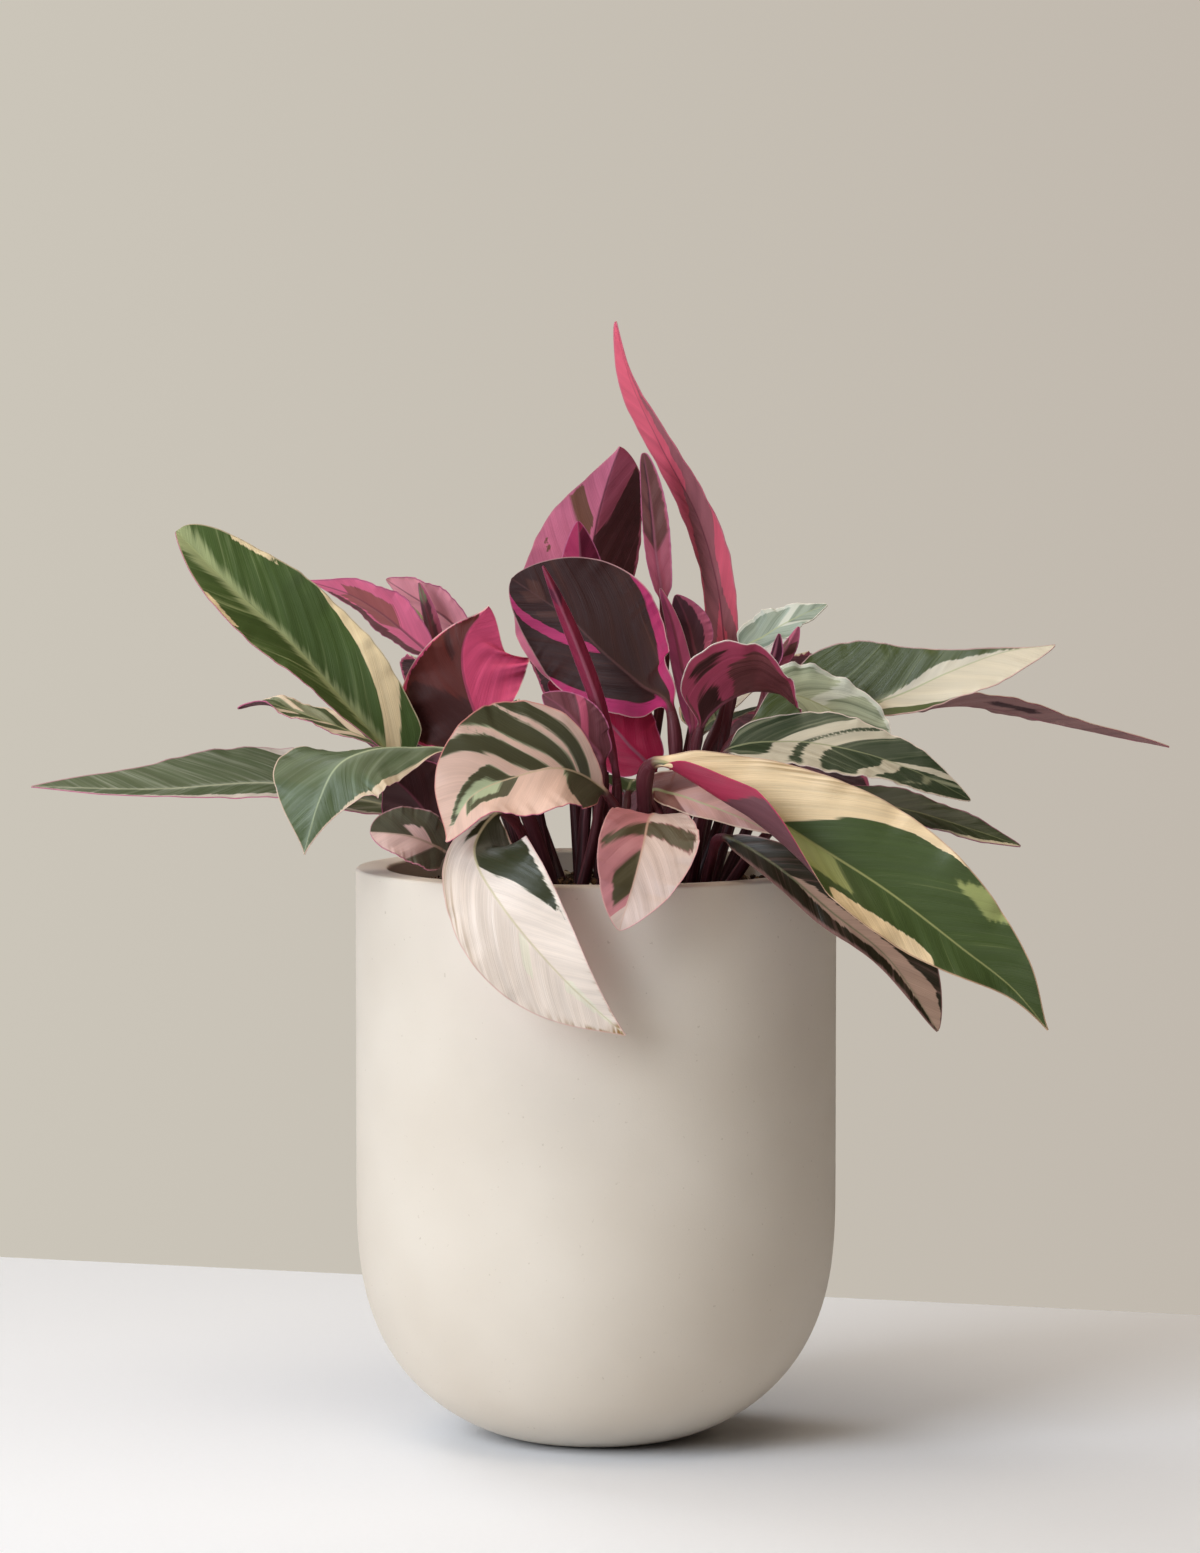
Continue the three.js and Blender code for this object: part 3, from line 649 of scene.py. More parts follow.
@dataclass(frozen=True)
class Leaf:
    """One leaf, stalk and blade in one, in millimetres and degrees.

    Attributes:
        name: the solid's name.
        tone: its tone, which picks its markings where it has none of its own.
        root: where its stalk leaves the potting mix, x and y.
        stalk: points the stalk passes on its way up.
        rib: points along the blade's midrib, from base to tip.
        half: widest half-width, left and right of the rib as seen from the base.
        turn: how far the upper face is turned along the blade, from the front, or from the sky
            where sky is true.
        fold: how far each half rises from the rib along the blade, left and then right.
        sky: whether the turn is counted from the sky.
        curl: how much further each margin bends along the blade, left and then right.
        wave: height and number of the ripples along each margin.
        belly: where along the blade each half is widest.
        full: how bluntly each half narrows to the ends, blunter when smaller.
        stout: how much thicker than the rest its stalk is.
    """

    name: str
    tone: Tone
    root: Row
    stalk: Sequence[Row]
    rib: Sequence[Row]
    half: Row
    turn: Course
    fold: Sequence[Course]
    sky: bool = False
    curl: Sequence[Course] = (0.0, 0.0)
    wave: Row = (0.0, 0.0)
    belly: Row = (0.42, 0.42)
    full: Row = (0.75, 0.75)
    stout: float = 1.0

    def centre(self, place: Array) -> tuple[Array, Array]:
        """Follows the centre line, up the stalk and then along the midrib."""
        foot = [[*self.root, SOIL_TOP]]
        return catmull_rom(np.array([*foot, *self.stalk, *self.rib], float), place)

    def blade_start(self) -> float:
        """Gives the share of the centre line at which the blade begins."""
        return (len(self.stalk) + 1) / (len(self.stalk) + len(self.rib))

    def facing(self, tangent: Array, share: Array) -> Array:
        """Works out where the upper face looks.

        The front, or the sky, is made square to the midrib and then turned about it.

        Args:
            tangent: the midrib's unit tangents.
            share: their shares of the blade.

        Returns:
            A unit vector for each.
        """
        towards = np.array(SKY if self.sky else FRONT)
        level = unit(towards - tangent * (tangent @ towards)[:, None])
        across = np.cross(tangent, level)
        angle = np.radians(along(self.turn, share))[:, None]
        return level * np.cos(angle) + across * np.sin(angle)

    def widths(self, side: int, share: Array) -> Array:
        """Gives a half's width along the blade.

        It is the sine of a half turn along the skewed length, raised to the half's bluntness.

        Args:
            side: which half.
            share: shares of the blade.

        Returns:
            The width at each share, in millimetres.
        """
        skew = math.log(0.5) / math.log(self.belly[side])
        outline = np.abs(np.sin(np.pi * share**skew)) ** self.full[side]
        return (self.half[side] - TIP_HALF_WIDTH) * outline + TIP_HALF_WIDTH


class LeafSkin:
    """The fine closed skin of one leaf and its markings, worked out as whole arrays."""

    def __init__(self, leaf: Leaf, marks: Marks, seed: int) -> None:
        """Keeps the leaf and works out where its rings stand.

        Args:
            leaf: the leaf's shape.
            marks: its colours and sectors.
            seed: a number of its own, so that no two leaves are broken up alike.
        """
        self.leaf = leaf
        self.marks = marks
        self.seed = seed
        even = np.linspace(0.0, 1.0, BLADE_RINGS)
        self.share = (even + (1.0 - np.cos(np.pi * even)) / 2.0) / 2.0
        start = leaf.blade_start()
        self.spine, self.tangent = leaf.centre(start + (1.0 - start) * self.share)
        self.normal = leaf.facing(self.tangent, self.share)
        self.across = np.cross(self.tangent, self.normal)
        steps = np.linalg.norm(np.diff(self.spine, axis=0), axis=1)
        self.run = np.concatenate([[0.0], np.cumsum(steps)])
        cell = np.linspace(0.0, 1.0, HALF_CELLS + 1)
        self.reach = (cell + cell**RIB_CROWDING) / 2.0

    def ripples(self, side: int, width: Array) -> Array:
        """Lifts a half by its ripples.

        Sine waves along the blade grow with the square of the reach and die out at both ends. A
        finer crinkle grows with its fourth power, and the skin between side veins puckers a
        little, as a sine wave of the vein coordinate.

        Args:
            side: which half.
            width: its width at each ring.

        Returns:
            The lift of each point in millimetres, ring by ring from the rib out.
        """
        height, count = self.leaf.wave
        share, reach = self.share[:, None], self.reach[None, :]
        ends = np.sin(np.pi * share)
        swing = np.sin(2.0 * np.pi * count * share + side * RIGHT_WAVE_LEAD)
        lift = height * swing * reach**2 * ends
        phase = self.seed * CRINKLES_APART + side
        turns = 2.0 * np.pi * CRINKLE_COUNT * share
        finer = FINER_HEIGHT * np.sin(FINER * turns + FINER_START * phase)
        crinkle = (np.sin(turns + phase) + finer) * self.marks.crinkle
        crinkle = crinkle * np.minimum(width / CRINKLE_WIDTH, 1.0)
        lift = lift + CRINKLE_HEIGHT * crinkle * reach**4 * ends
        vein = self.vein_coordinate(width * reach)
        pucker = np.sin(2.0 * np.pi * vein / PUCKER_SPACING + phase)
        return lift + PUCKER_HEIGHT * pucker * reach * (1.0 - reach) * 4.0 * ends

    def vein_coordinate(self, from_rib: Array) -> Array:
        """Tells where on the rib, in millimetres from its base, a point's side vein began.

        It is the distance along the rib, less the distance from the rib times the veins' lean
        and its square times their bend.
        """
        marks = self.marks
        return self.run[:, None] - marks.lean * from_rib - marks.bend * from_rib**2

    def half_section(self, side: int) -> tuple[Array, Array, Array]:
        """Works out one half of the blade, ring by ring from the rib out.

        The half leaves the rib at its fold angle and bends evenly by its curl, so a point lies on
        a chord that turns by half the bend and shortens as sine over angle does. The fold is
        rounded close to the rib.

        Args:
            side: which half.

        Returns:
            The upper points, the lower points and the distances from the rib.
        """
        leaf, share, reach = self.leaf, self.share[:, None], self.reach[None, :]
        sign = 1.0 if side == Half.RIGHT else -1.0
        fold = np.radians(along(leaf.fold[side], share))
        bend = np.radians(along(leaf.curl[side], share)) * reach
        width = leaf.widths(side, share)
        from_rib = width * reach
        chord = from_rib * np.sinc(bend / (2.0 * np.pi))
        rounded = np.sqrt(reach**2 + CREASE_SHARE**2) - CREASE_SHARE
        slope = fold + bend / 2.0
        lift = chord * np.sin(slope) * rounded / np.maximum(reach, 1e-6) + self.ripples(side, width)
        aside = sign * chord * np.cos(slope)
        lean = (fold + bend) * np.tanh(reach / CREASE_SHARE)
        normal, across = self.normal[:, None, :], self.across[:, None, :]
        middle = self.spine[:, None, :] + normal * lift[..., None] + across * aside[..., None]
        facing = normal * np.cos(lean)[..., None] - sign * across * np.sin(lean)[..., None]
        thin = RIB_THICKNESS + (MARGIN_THICKNESS - RIB_THICKNESS) * np.sqrt(reach)
        ridge = RIB_RIDGE * np.exp(-((from_rib / RIB_RIDGE_WIDTH) ** 2)) * (1.0 - share)
        upper = middle + facing * (thin / 2.0 + 0.0 * share)[..., None]
        lower = middle - facing * (thin / 2.0 + ridge)[..., None]
        return upper, lower, from_rib

    def stalk_rings(self) -> tuple[Array, Array, Array]:
        """Works out the stalk as round rings from inside its hole up to the blade.

        The radius shrinks evenly from foot to top and swells, as a bell curve, a little below
        the blade.

        Returns:
            The rings, their shares of the stalk's length below the blade as negative numbers,
            and their distances along it.
        """
        share = np.linspace(0.0, 1.0, STALK_RINGS)
        spine, tangent = self.leaf.centre(self.leaf.blade_start() * share)
        normal = unit(self.normal[0] - tangent * (tangent @ self.normal[0])[:, None])
        across = np.cross(tangent, normal)
        radius = STALK_FOOT_RADIUS + (STALK_TOP_RADIUS - STALK_FOOT_RADIUS) * share
        swell = SWELL * np.exp(-(((share - SWELL_MIDDLE) / SWELL_SPAN) ** 2))
        radius = (radius * (1.0 + swell) * self.leaf.stout)[:, None]
        rings = self.round_ring(spine, normal, across, radius)
        foot = rings[:1] + tangent[0] * (SEAT_GAP - HOLE_DEPTH)
        steps = np.linalg.norm(np.diff(spine, axis=0), axis=1)
        run = np.concatenate([[-HOLE_DEPTH, 0.0], np.cumsum(steps)])
        return np.concatenate([foot, rings]), np.concatenate([[-1.0], share - 1.0]), run

    @staticmethod
    def round_ring(spine: Array, normal: Array, across: Array, radius: Array) -> Array:
        """Puts a round ring about each point of the spine.

        Args:
            spine: the rings' centres.
            normal: where the upper side looks, a unit vector each.
            across: where the right side lies, a unit vector each.
            radius: the radius of each ring.

        Returns:
            The rings' points, the upper left one first.
        """
        angle = np.pi - (np.arange(RING_POINTS) + 0.5) / RING_POINTS * 2.0 * np.pi
        side = across[:, None, :] * (radius * np.cos(angle))[..., None]
        rise = normal[:, None, :] * (radius * np.sin(angle))[..., None]
        return spine[:, None, :] + side + rise

    def blade_rings(self) -> Array:
        """Works out the blade's rings, opened out from the stalk's round section.

        Returns:
            The rings' points: over the upper face from left to right, and back below it.
        """
        left_up, left_low, _ = self.half_section(Half.LEFT)
        right_up, right_low, _ = self.half_section(Half.RIGHT)
        upper = np.concatenate([left_up[:, ::-1], right_up[:, 1:]], axis=1)
        lower = np.concatenate([left_low[:, ::-1], right_low[:, 1:]], axis=1)
        flat = np.concatenate([upper, lower[:, ::-1]], axis=1)
        radius = np.full((BLADE_RINGS, 1), STALK_TOP_RADIUS * self.leaf.stout)
        round_section = self.round_ring(self.spine, self.normal, self.across, radius)
        opened = smooth(self.share / OPENING_SHARE)[:, None, None]
        return round_section * (1.0 - opened) + flat * opened

    @staticmethod
    def ringed(left: Array, right: Array) -> Array:
        """Lays values of the left and right half, each from the rib out, along the rings."""
        line = np.concatenate([left[:, ::-1], right[:, 1:]], axis=1)
        return np.concatenate([line, line[:, ::-1]], axis=1)

    def sector_depth(self, patch: Patch, side: int) -> Array:
        """Measures how deep each point of a half lies in a sector.

        It is the least of the distances to the sector's two side veins and to its two reaches,
        below zero outside it.

        Args:
            patch: the sector.
            side: which half.

        Returns:
            Depths in millimetres, ring by ring from the rib out.
        """
        share, reach = self.share[:, None], self.reach[None, :]
        width, length = self.leaf.widths(side, share), self.run[-1]
        vein = self.vein_coordinate(width * reach)
        past_start = vein - along(patch.start, reach) * length
        before_end = along(patch.end, reach) * length - vein
        between = np.minimum(past_start, before_end) * VEIN_SLANT
        outside = (reach - along(patch.inner, share)) * width
        inside = (along(patch.outer, share) - reach) * width
        return np.clip(np.minimum(between, np.minimum(outside, inside)), -DEEP, DEEP)

    def sector_fields(self, side: int) -> tuple[Array, Array]:
        """Works out how deep each point of a half lies in cream and in grey-green.

        Sectors are laid over the ground in order. The ground's own depth is a small one, so that
        streaks of the next shade can break through it.

        Args:
            side: which half.

        Returns:
            Depths in cream and in grey-green, in millimetres.
        """
        marks, share = self.marks, self.share[:, None]
        shy = SHY - STREAKED * marks.skin.streaks
        from_rib = self.leaf.widths(side, share) * self.reach[None, :]
        cream = np.full_like(from_rib, shy if marks.ground is Shade.CREAM else -DEEP)
        grey = np.full_like(from_rib, -shy if marks.ground is Shade.GREEN else shy)
        grey = np.maximum(grey, along(marks.flame, share) - from_rib)
        for patch in marks.patches:
            if patch.half not in (side, Half.BOTH):
                continue
            depth = self.sector_depth(patch, side)
            if patch.shade is Shade.CREAM:
                cream = np.maximum(cream, depth)
                continue
            cream = np.minimum(cream, -depth)
            if patch.shade is Shade.GREY:
                grey = np.maximum(grey, STEEP * depth)
            else:
                grey = np.minimum(grey, -STEEP * depth)
        return cream, grey

    def attributes(self, stalk_share: Array, stalk_run: Array) -> dict[str, Array]:
        """Works out each point's attributes.

        They are vein: the vein coordinate, the signed distance from the rib and a number that
        tells leaves and halves apart; marks: the depths in cream and grey-green and how brown;
        and place: the share of the blade, the distance from the margin and nothing.

        Args:
            stalk_share: the stalk rings' shares of its length below the blade.
            stalk_run: their distances along it.

        Returns:
            The three attributes by name, ring by ring, stalk rings first.
        """
        share, reach = self.share[:, None], self.reach[None, :]
        even = np.zeros((BLADE_RINGS, HALF_CELLS + 1))
        sides = (Half.LEFT, Half.RIGHT)
        width = [self.leaf.widths(side, share) for side in sides]
        from_rib = [wide * reach for wide in width]
        cream, grey = zip(*(self.sector_fields(side) for side in sides))
        outer = (reach - BROWN_REACH) / (1.0 - BROWN_REACH)
        outer = np.maximum(outer, (share - BROWN_TIP) / (1.0 - BROWN_TIP))
        brown = [along(row, share) * smooth(outer) for row in self.marks.browned]
        apart = self.ringed(even - HALVES_APART, even + HALVES_APART)
        blade = {
            "vein": [
                self.ringed(*(self.vein_coordinate(away) for away in from_rib)),
                self.ringed(-from_rib[0], from_rib[1]),
                apart + self.seed * LEAVES_APART,
            ],
            "marks": [self.ringed(*cream), self.ringed(*grey), self.ringed(*brown)],
            "place": [
                self.ringed(even + share, even + share),
                self.ringed(*(wide * (1.0 - reach) for wide in width)),
                np.zeros((BLADE_RINGS, RING_POINTS)),
            ],
        }
        even = np.zeros((len(stalk_share), RING_POINTS))
        stalk = {
            "vein": [
                even + np.arange(RING_POINTS) * ROUND_STALK,
                even + (stalk_run - stalk_run[-1])[:, None],
                even + self.seed * LEAVES_APART,
            ],
            "marks": [even, even, even],
            "place": [even + stalk_share[:, None], even + NO_MARGIN, even],
        }
        return {
            name: np.concatenate([np.stack(part[name], axis=-1) for part in (stalk, blade)])
            for name in blade
        }

    def build(self) -> bpy.types.Object:
        """Makes the leaf's mesh, materials and attributes, and stands it for its solid.

        Returns:
            The leaf's object.
        """
        stalk, stalk_share, stalk_run = self.stalk_rings()
        rings = np.concatenate([stalk[:-1], self.blade_rings()])
        attributes = self.attributes(stalk_share[:-1], stalk_run[:-1])
        ends = np.stack([stalk[0].mean(axis=0), rings[-1].mean(axis=0)])
        corners = np.concatenate([rings.reshape(-1, 3), ends])
        faces = closed_faces(len(rings), RING_POINTS)
        upper_slot, under_slot, stalk_slot = range(3)
        around = np.where(np.arange(RING_POINTS) <= 2 * HALF_CELLS, upper_slot, under_slot)
        slots = np.tile(around, (len(rings) - 1, 1))
        slots[: len(stalk) - 1] = stalk_slot
        fans = np.repeat([stalk_slot, upper_slot], RING_POINTS)
        slots = np.concatenate([slots.ravel(), fans])
        piece = new_piece(self.leaf.name + "_fine", corners, faces, self.materials(), slots)
        for name, rows in attributes.items():
            flat = rows.reshape(-1, 3)
            write_attribute(piece, name, np.concatenate([flat, flat[:1], flat[-1:]]))
        place_piece(piece, self.leaf.name)
        return piece

    def materials(self) -> list[bpy.types.Material]:
        """Makes the leaf's materials.

        Returns:
            Its upper skin, its under skin and its stalk.
        """
        skin, name = self.marks.skin, self.leaf.name
        upper = LeafFace(
            f"{name} waxy upper skin", skin.green, skin.grey, skin.cream, skin.rib, skin.margin,
            skin.stalk,
        )
        under = LeafFace(
            f"{name} satin under skin", skin.maroon, skin.mauve, skin.pink, skin.keel, skin.seam,
            skin.stalk, gloss=0.4, matt=0.55, shine=0.16,
        )
        stalk = Stalk(f"{name} fleshy stalk", skin.stalk)
        return [upper.material(), under.material(), stalk.material()]


# ---- Leaves ------------------------------------------------------------------------------------


def rear_leaf(
    name: str,
    tone: Tone,
    half: float,
    root: Row,
    stalk: Row,
    rib: Sequence[Row],
    fold: Row = (14.0, 12.0),
) -> Leaf:
    """Gives the shape of an even, arching leaf of the plant's rear, which looks at the sky.

    Args:
        name: the solid's name.
        tone: its tone.
        half: its widest half-width, left and right.
        root: where its stalk leaves the potting mix.
        stalk: the point that the stalk passes.
        rib: points along the blade's midrib, from base to tip.
        fold: how far both halves rise from the rib along the blade.

    Returns:
        The leaf.
    """
    return Leaf(
        name, tone, root, [stalk], rib, half=[half, half], sky=True, turn=0.0, fold=[fold, fold],
        wave=[1.5, 3],
    )


LEAVES = [
    Leaf(
        name="leaf_01_left_upper", tone=Tone.GREEN, root=[-38, -2], stalk=[[-66, -8, 302]],
        rib=[[-92, -16, 331], [-122, -26, 366], [-148, -34, 396], [-178, -42, 425],
            [-205, -46, 453]], half=[23, 31], turn=31, fold=[[60, 45, 36, 22, 14], [26, 22, 20]],
        wave=[1.5, 3], belly=[0.56, 0.42], full=[0.8, 0.45],
    ),
    Leaf(
        name="leaf_02_left_level", tone=Tone.GREEN, root=[-44, -20], stalk=[[-60, -22, 298]],
        rib=[[-77, -26, 310], [-118, -32, 321], [-160, -38, 329], [-216, -52, 327],
            [-275, -60, 329]], half=[18, 26], turn=[62, 58], fold=[[14, 12], [14, 12]],
        wave=[1.2, 3], belly=[0.4, 0.46], full=[1.1, 0.95],
    ),
    Leaf(
        name="leaf_03_left_twisted", tone=Tone.GREEN, root=[-34, -34], stalk=[[-50, -42, 312]],
        rib=[[-69, -50, 344], [-91, -60, 348], [-110, -68, 347], [-125, -76, 340],
            [-134, -82, 323], [-141, -86, 298]], half=[26, 31], turn=[78, 72, 55, 12, 5],
        fold=[[-30, -30, -10, 6], [-30, -30, -10, 6]], wave=[2, 3], belly=[0.5, 0.64],
        full=[1.4, 1.35],
    ),
    Leaf(
        name="leaf_04_left_curled", tone=Tone.GREEN, root=[-46, 12], stalk=[[-78, 14, 320]],
        rib=[[-109, 16, 344], [-128, 18, 353], [-148, 20, 360], [-165, 20, 365], [-179, 16, 363]],
        half=[13, 13], turn=[70, 72, 76, 120], fold=[8, 10], wave=[1, 3],
    ),
    Leaf(
        name="leaf_05_left_pink", tone=Tone.MAGENTA, root=[-32, 16],
        stalk=[[-50, 18, 330], [-68, 22, 368]],
        rib=[[-81, 22, 388], [-94, 26, 400], [-108, 30, 411], [-124, 32, 420], [-144, 34, 426]],
        half=[15, 15], turn=[140, 135], fold=[10, 10], wave=[1, 3], full=[1, 1],
    ),
    Leaf(
        name="leaf_06_left_pale", tone=Tone.MAGENTA, root=[-22, 30],
        stalk=[[-34, 36, 330], [-50, 42, 374]],
        rib=[[-64, 46, 396], [-75, 50, 407], [-86, 52, 414], [-96, 55, 420], [-106, 58, 426]],
        half=[13, 13], turn=[138, 135], fold=[10, 10], wave=[1, 3],
    ),
    Leaf(
        name="leaf_07_left_broad", tone=Tone.PLUM, root=[-22, -10], stalk=[[-34, -14, 312]],
        rib=[[-52, -16, 346], [-61, -15, 366], [-66, -13, 385], [-64, -12, 401], [-53, -10, 415]],
        half=[34, 38], turn=180, fold=[12, 12], wave=[3, 4], belly=[0.52, 0.28], full=[0.75, 1.7],
        stout=1.4,
    ),
    Leaf(
        name="leaf_08_back_tall", tone=Tone.MAGENTA, root=[2, 30], stalk=[[4, 36, 318]],
        rib=[[3, 42, 362], [0, 50, 391], [-3, 58, 418], [-1, 64, 448], [5, 64, 473],
            [12, 60, 493]], half=[34, 39], turn=204, fold=[[24, 22], [24, 22]], wave=[1.5, 3],
        belly=[0.6, 0.32], full=[0.7, 1.3],
    ),
    Leaf(
        name="leaf_09_centre_round", tone=Tone.PLUM, root=[24, -22], stalk=[[38, -32, 316]],
        rib=[[37, -34, 364], [22, -22, 377], [4, -10, 392], [-14, 2, 409], [-42, 12, 428]],
        half=[38, 29], turn=180, fold=[8, 8], wave=[1.5, 3], belly=[0.62, 0.6], full=[0.65, 0.6],
        stout=1.3,
    ),
    Leaf(
        name="leaf_10_centre_spear", tone=Tone.MAGENTA, root=[2, -40], stalk=[[8, -46, 304]],
        rib=[[10, -52, 333], [2, -50, 366], [-8, -44, 394], [-18, -40, 418], [-26, -38, 436]],
        half=[8, 8], turn=180, fold=[40, 40], curl=[40, 40],
    ),
    Leaf(
        name="leaf_11_back_narrow", tone=Tone.PLUM, root=[16, 24],
        stalk=[[26, 34, 326], [34, 42, 378]],
        rib=[[34, 46, 414], [31, 50, 436], [29, 52, 456], [27, 52, 473], [24, 50, 490]],
        half=[8, 8], turn=150, fold=[14, 14], full=[0.5, 0.5],
    ),
    Leaf(
        name="leaf_12_back_tallest", tone=Tone.MAGENTA, root=[34, 34],
        stalk=[[48, 46, 320], [62, 50, 350]],
        rib=[[69, 54, 372], [66, 60, 393], [62, 66, 424], [52, 66, 458], [34, 62, 492],
            [18, 56, 526], [10, 50, 556]], half=[15, 15], turn=[140, 138, 122, 118, 118],
        fold=[[-25, -22, -6, 10, -14, -25], [8, 8, 8, -6, -26, -40]], wave=[1, 3],
        belly=[0.3, 0.3], full=[0.6, 0.6], stout=1.3,
    ),
    Leaf(
        name="leaf_13_back_dark", tone=Tone.PLUM, root=[30, 12],
        stalk=[[42, 22, 322], [50, 28, 362]],
        rib=[[51, 30, 384], [49, 33, 394], [47, 35, 403], [44, 36, 411], [40, 36, 419]],
        half=[11, 11], turn=165, fold=[10, 10],
    ),
    Leaf(
        name="leaf_14_right_folded", tone=Tone.PLUM, root=[40, -26],
        stalk=[[44, -44, 318], [48, -54, 343]],
        rib=[[51, -58, 358], [59, -60, 368], [69, -58, 374], [79, -54, 376], [92, -48, 374],
            [105, -44, 370], [120, -44, 362], [133, -48, 350], [141, -50, 343]], half=[21, 33],
        turn=[-155, -148, -125, -65, -50, -45, -35],
        fold=[[60, 50, 35, 22, 8, 8], [4, 6, 8, 8, 8]], wave=[1.5, 4], belly=[0.72, 0.25],
        full=[0.65, 1.8],
    ),
    Leaf(
        name="leaf_15_right_pale", tone=Tone.STRIPED, root=[48, 22],
        stalk=[[60, 28, 326], [68, 30, 368]],
        rib=[[73, 30, 390], [84, 30, 398], [94, 31, 404], [104, 33, 409], [116, 36, 414]],
        half=[17, 13], turn=-58, fold=[8, 8], wave=[1, 3], belly=[0.3, 0.42],
    ),
    Leaf(
        name="leaf_16_right_spear", tone=Tone.PLUM, root=[50, 6],
        stalk=[[68, 8, 324], [82, 10, 362]],
        rib=[[88, 10, 381], [91, 11, 387], [95, 12, 393], [98, 12, 398], [101, 12, 404]],
        half=[5, 5], turn=150, fold=[30, 30],
    ),
    Leaf(
        name="leaf_17_right_large", tone=Tone.GREEN, root=[42, -6], stalk=[[54, -4, 318]],
        rib=[[74, -4, 354], [111, -10, 361], [146, -18, 370], [174, -26, 383], [200, -32, 393],
            [225, -38, 397]], half=[34, 22], turn=[-35, -40], fold=[[28, 20], [30, 10]],
        wave=[1.2, 3], belly=[0.28, 0.68], full=[2.6, 0.85],
    ),
    Leaf(
        name="leaf_18_right_edgewise", tone=Tone.PLUM, root=[62, 16], stalk=[[88, 24, 322]],
        rib=[[127, 24, 354], [160, 24, 362], [191, 22, 364], [237, 18, 354], [286, 12, 344]],
        half=[22, 19], turn=[-106, -104], fold=[10, 10], wave=[1, 3],
    ),
    Leaf(
        name="leaf_19_right_striped", tone=Tone.STRIPED, root=[46, -42], stalk=[[52, -60, 312]],
        rib=[[63, -76, 346], [92, -80, 352], [124, -84, 348], [154, -86, 338], [181, -84, 324]],
        half=[21, 31], turn=-58, fold=[14, 14], wave=[1, 3],
    ),
    Leaf(
        name="leaf_20_right_largest", tone=Tone.GREEN, root=[26, -56], stalk=[[24, -74, 310]],
        rib=[[28, -94, 343], [68, -108, 327], [107, -119, 304], [140, -125, 283], [174, -129, 257],
            [198, -128, 238], [216, -124, 217]], half=[36, 32], turn=-8,
        fold=[8, [30, 25, 20, 12, 10, 10]], curl=[0, [150, 165, 60, 10, 0, 0]], wave=[2, 4],
        belly=[0.44, 0.3], full=[1.15, 1.6], stout=1.5,
    ),
    Leaf(
        name="leaf_21_right_hanging", tone=Tone.GREEN, root=[52, -60], stalk=[[56, -70, 294]],
        rib=[[62, -82, 306], [86, -98, 294], [113, -106, 272], [141, -110, 249], [164, -112, 215]],
        half=[24, 9], turn=-20, fold=[10, 10], wave=[1, 3], belly=[0.62, 0.42],
    ),
    Leaf(
        name="leaf_22_right_low", tone=Tone.GREEN, root=[62, -36], stalk=[[80, -44, 300]],
        rib=[[100, -52, 320], [126, -58, 322], [155, -66, 317], [182, -72, 309], [206, -74, 301]],
        half=[13, 18], turn=-60, fold=[12, 12], wave=[1, 3],
    ),
    Leaf(
        name="leaf_23_front_arched", tone=Tone.STRIPED, root=[12, -62], stalk=[[16, -76, 300]],
        rib=[[5, -96, 328], [-15, -112, 341], [-38, -124, 338], [-59, -132, 329],
            [-71, -136, 308]], half=[34, 38], turn=31, fold=[[30, 26], [30, 24]], wave=[1.5, 3],
        belly=[0.45, 0.5], full=[0.85, 1.4],
    ),
    Leaf(
        name="leaf_24_left_low", tone=Tone.STRIPED, root=[-58, -50], stalk=[[-66, -68, 284]],
        rib=[[-72, -86, 298], [-80, -96, 304], [-89, -104, 308], [-99, -110, 310],
            [-108, -114, 311]], half=[15, 15], turn=30, fold=[12, 12], wave=[1, 3],
        full=[0.5, 0.5],
    ),
    Leaf(
        name="leaf_25_front_cream", tone=Tone.CREAM, root=[-30, -64], stalk=[[-34, -82, 304]],
        rib=[[-46, -104, 320], [-58, -124, 303], [-45, -144, 279], [-17, -150, 246],
            [14, -148, 217]], half=[29, 28], turn=0, fold=[12, 12], wave=[1.5, 3],
        belly=[0.42, 0.6], full=[1.2, 1.1],
    ),
    Leaf(
        name="leaf_26_front_small", tone=Tone.CREAM, root=[26, -76], stalk=[[30, -82, 298]],
        rib=[[28, -94, 316], [25, -114, 316], [22, -134, 304], [17, -144, 286], [11, -148, 267]],
        half=[26, 22], sky=True, turn=[0, -10, -16, -21, -35, -54, -60], fold=[[10, 14], [10, 14]],
        wave=[1, 3], belly=[0.42, 0.5], stout=1.4,
    ),
    Leaf(
        name="leaf_27_right_blush", tone=Tone.CREAM, root=[38, -72], stalk=[[38, -80, 298]],
        rib=[[27, -72, 326], [36, -76, 327], [50, -82, 323], [67, -88, 317], [86, -94, 309]],
        half=[14, 8], turn=-20, fold=[10, 10], wave=[1, 3],
    ),
    Leaf(
        name="leaf_28_left_plum", tone=Tone.PLUM, root=[-48, -38], stalk=[[-62, -43, 286]],
        rib=[[-72, -46, 298], [-80, -48, 311], [-88, -50, 322], [-96, -52, 330], [-104, -54, 335]],
        half=[22, 20], turn=180, fold=[12, 12],
    ),
    Leaf(
        name="leaf_29_left_spear", tone=Tone.PLUM, root=[-32, 26],
        stalk=[[-52, 32, 326], [-70, 34, 364]],
        rib=[[-78, 34, 382], [-80, 35, 391], [-83, 36, 404], [-86, 37, 415], [-89, 38, 425]],
        half=[5, 5], turn=160, fold=[30, 30],
    ),
    Leaf(
        name="leaf_30_centre_tip", tone=Tone.MAGENTA, root=[-8, 18],
        stalk=[[-4, 20, 328], [-2, 24, 368]],
        rib=[[-2, 26, 397], [-5, 30, 412], [-7, 32, 427], [-8, 33, 441], [-9, 33, 456]],
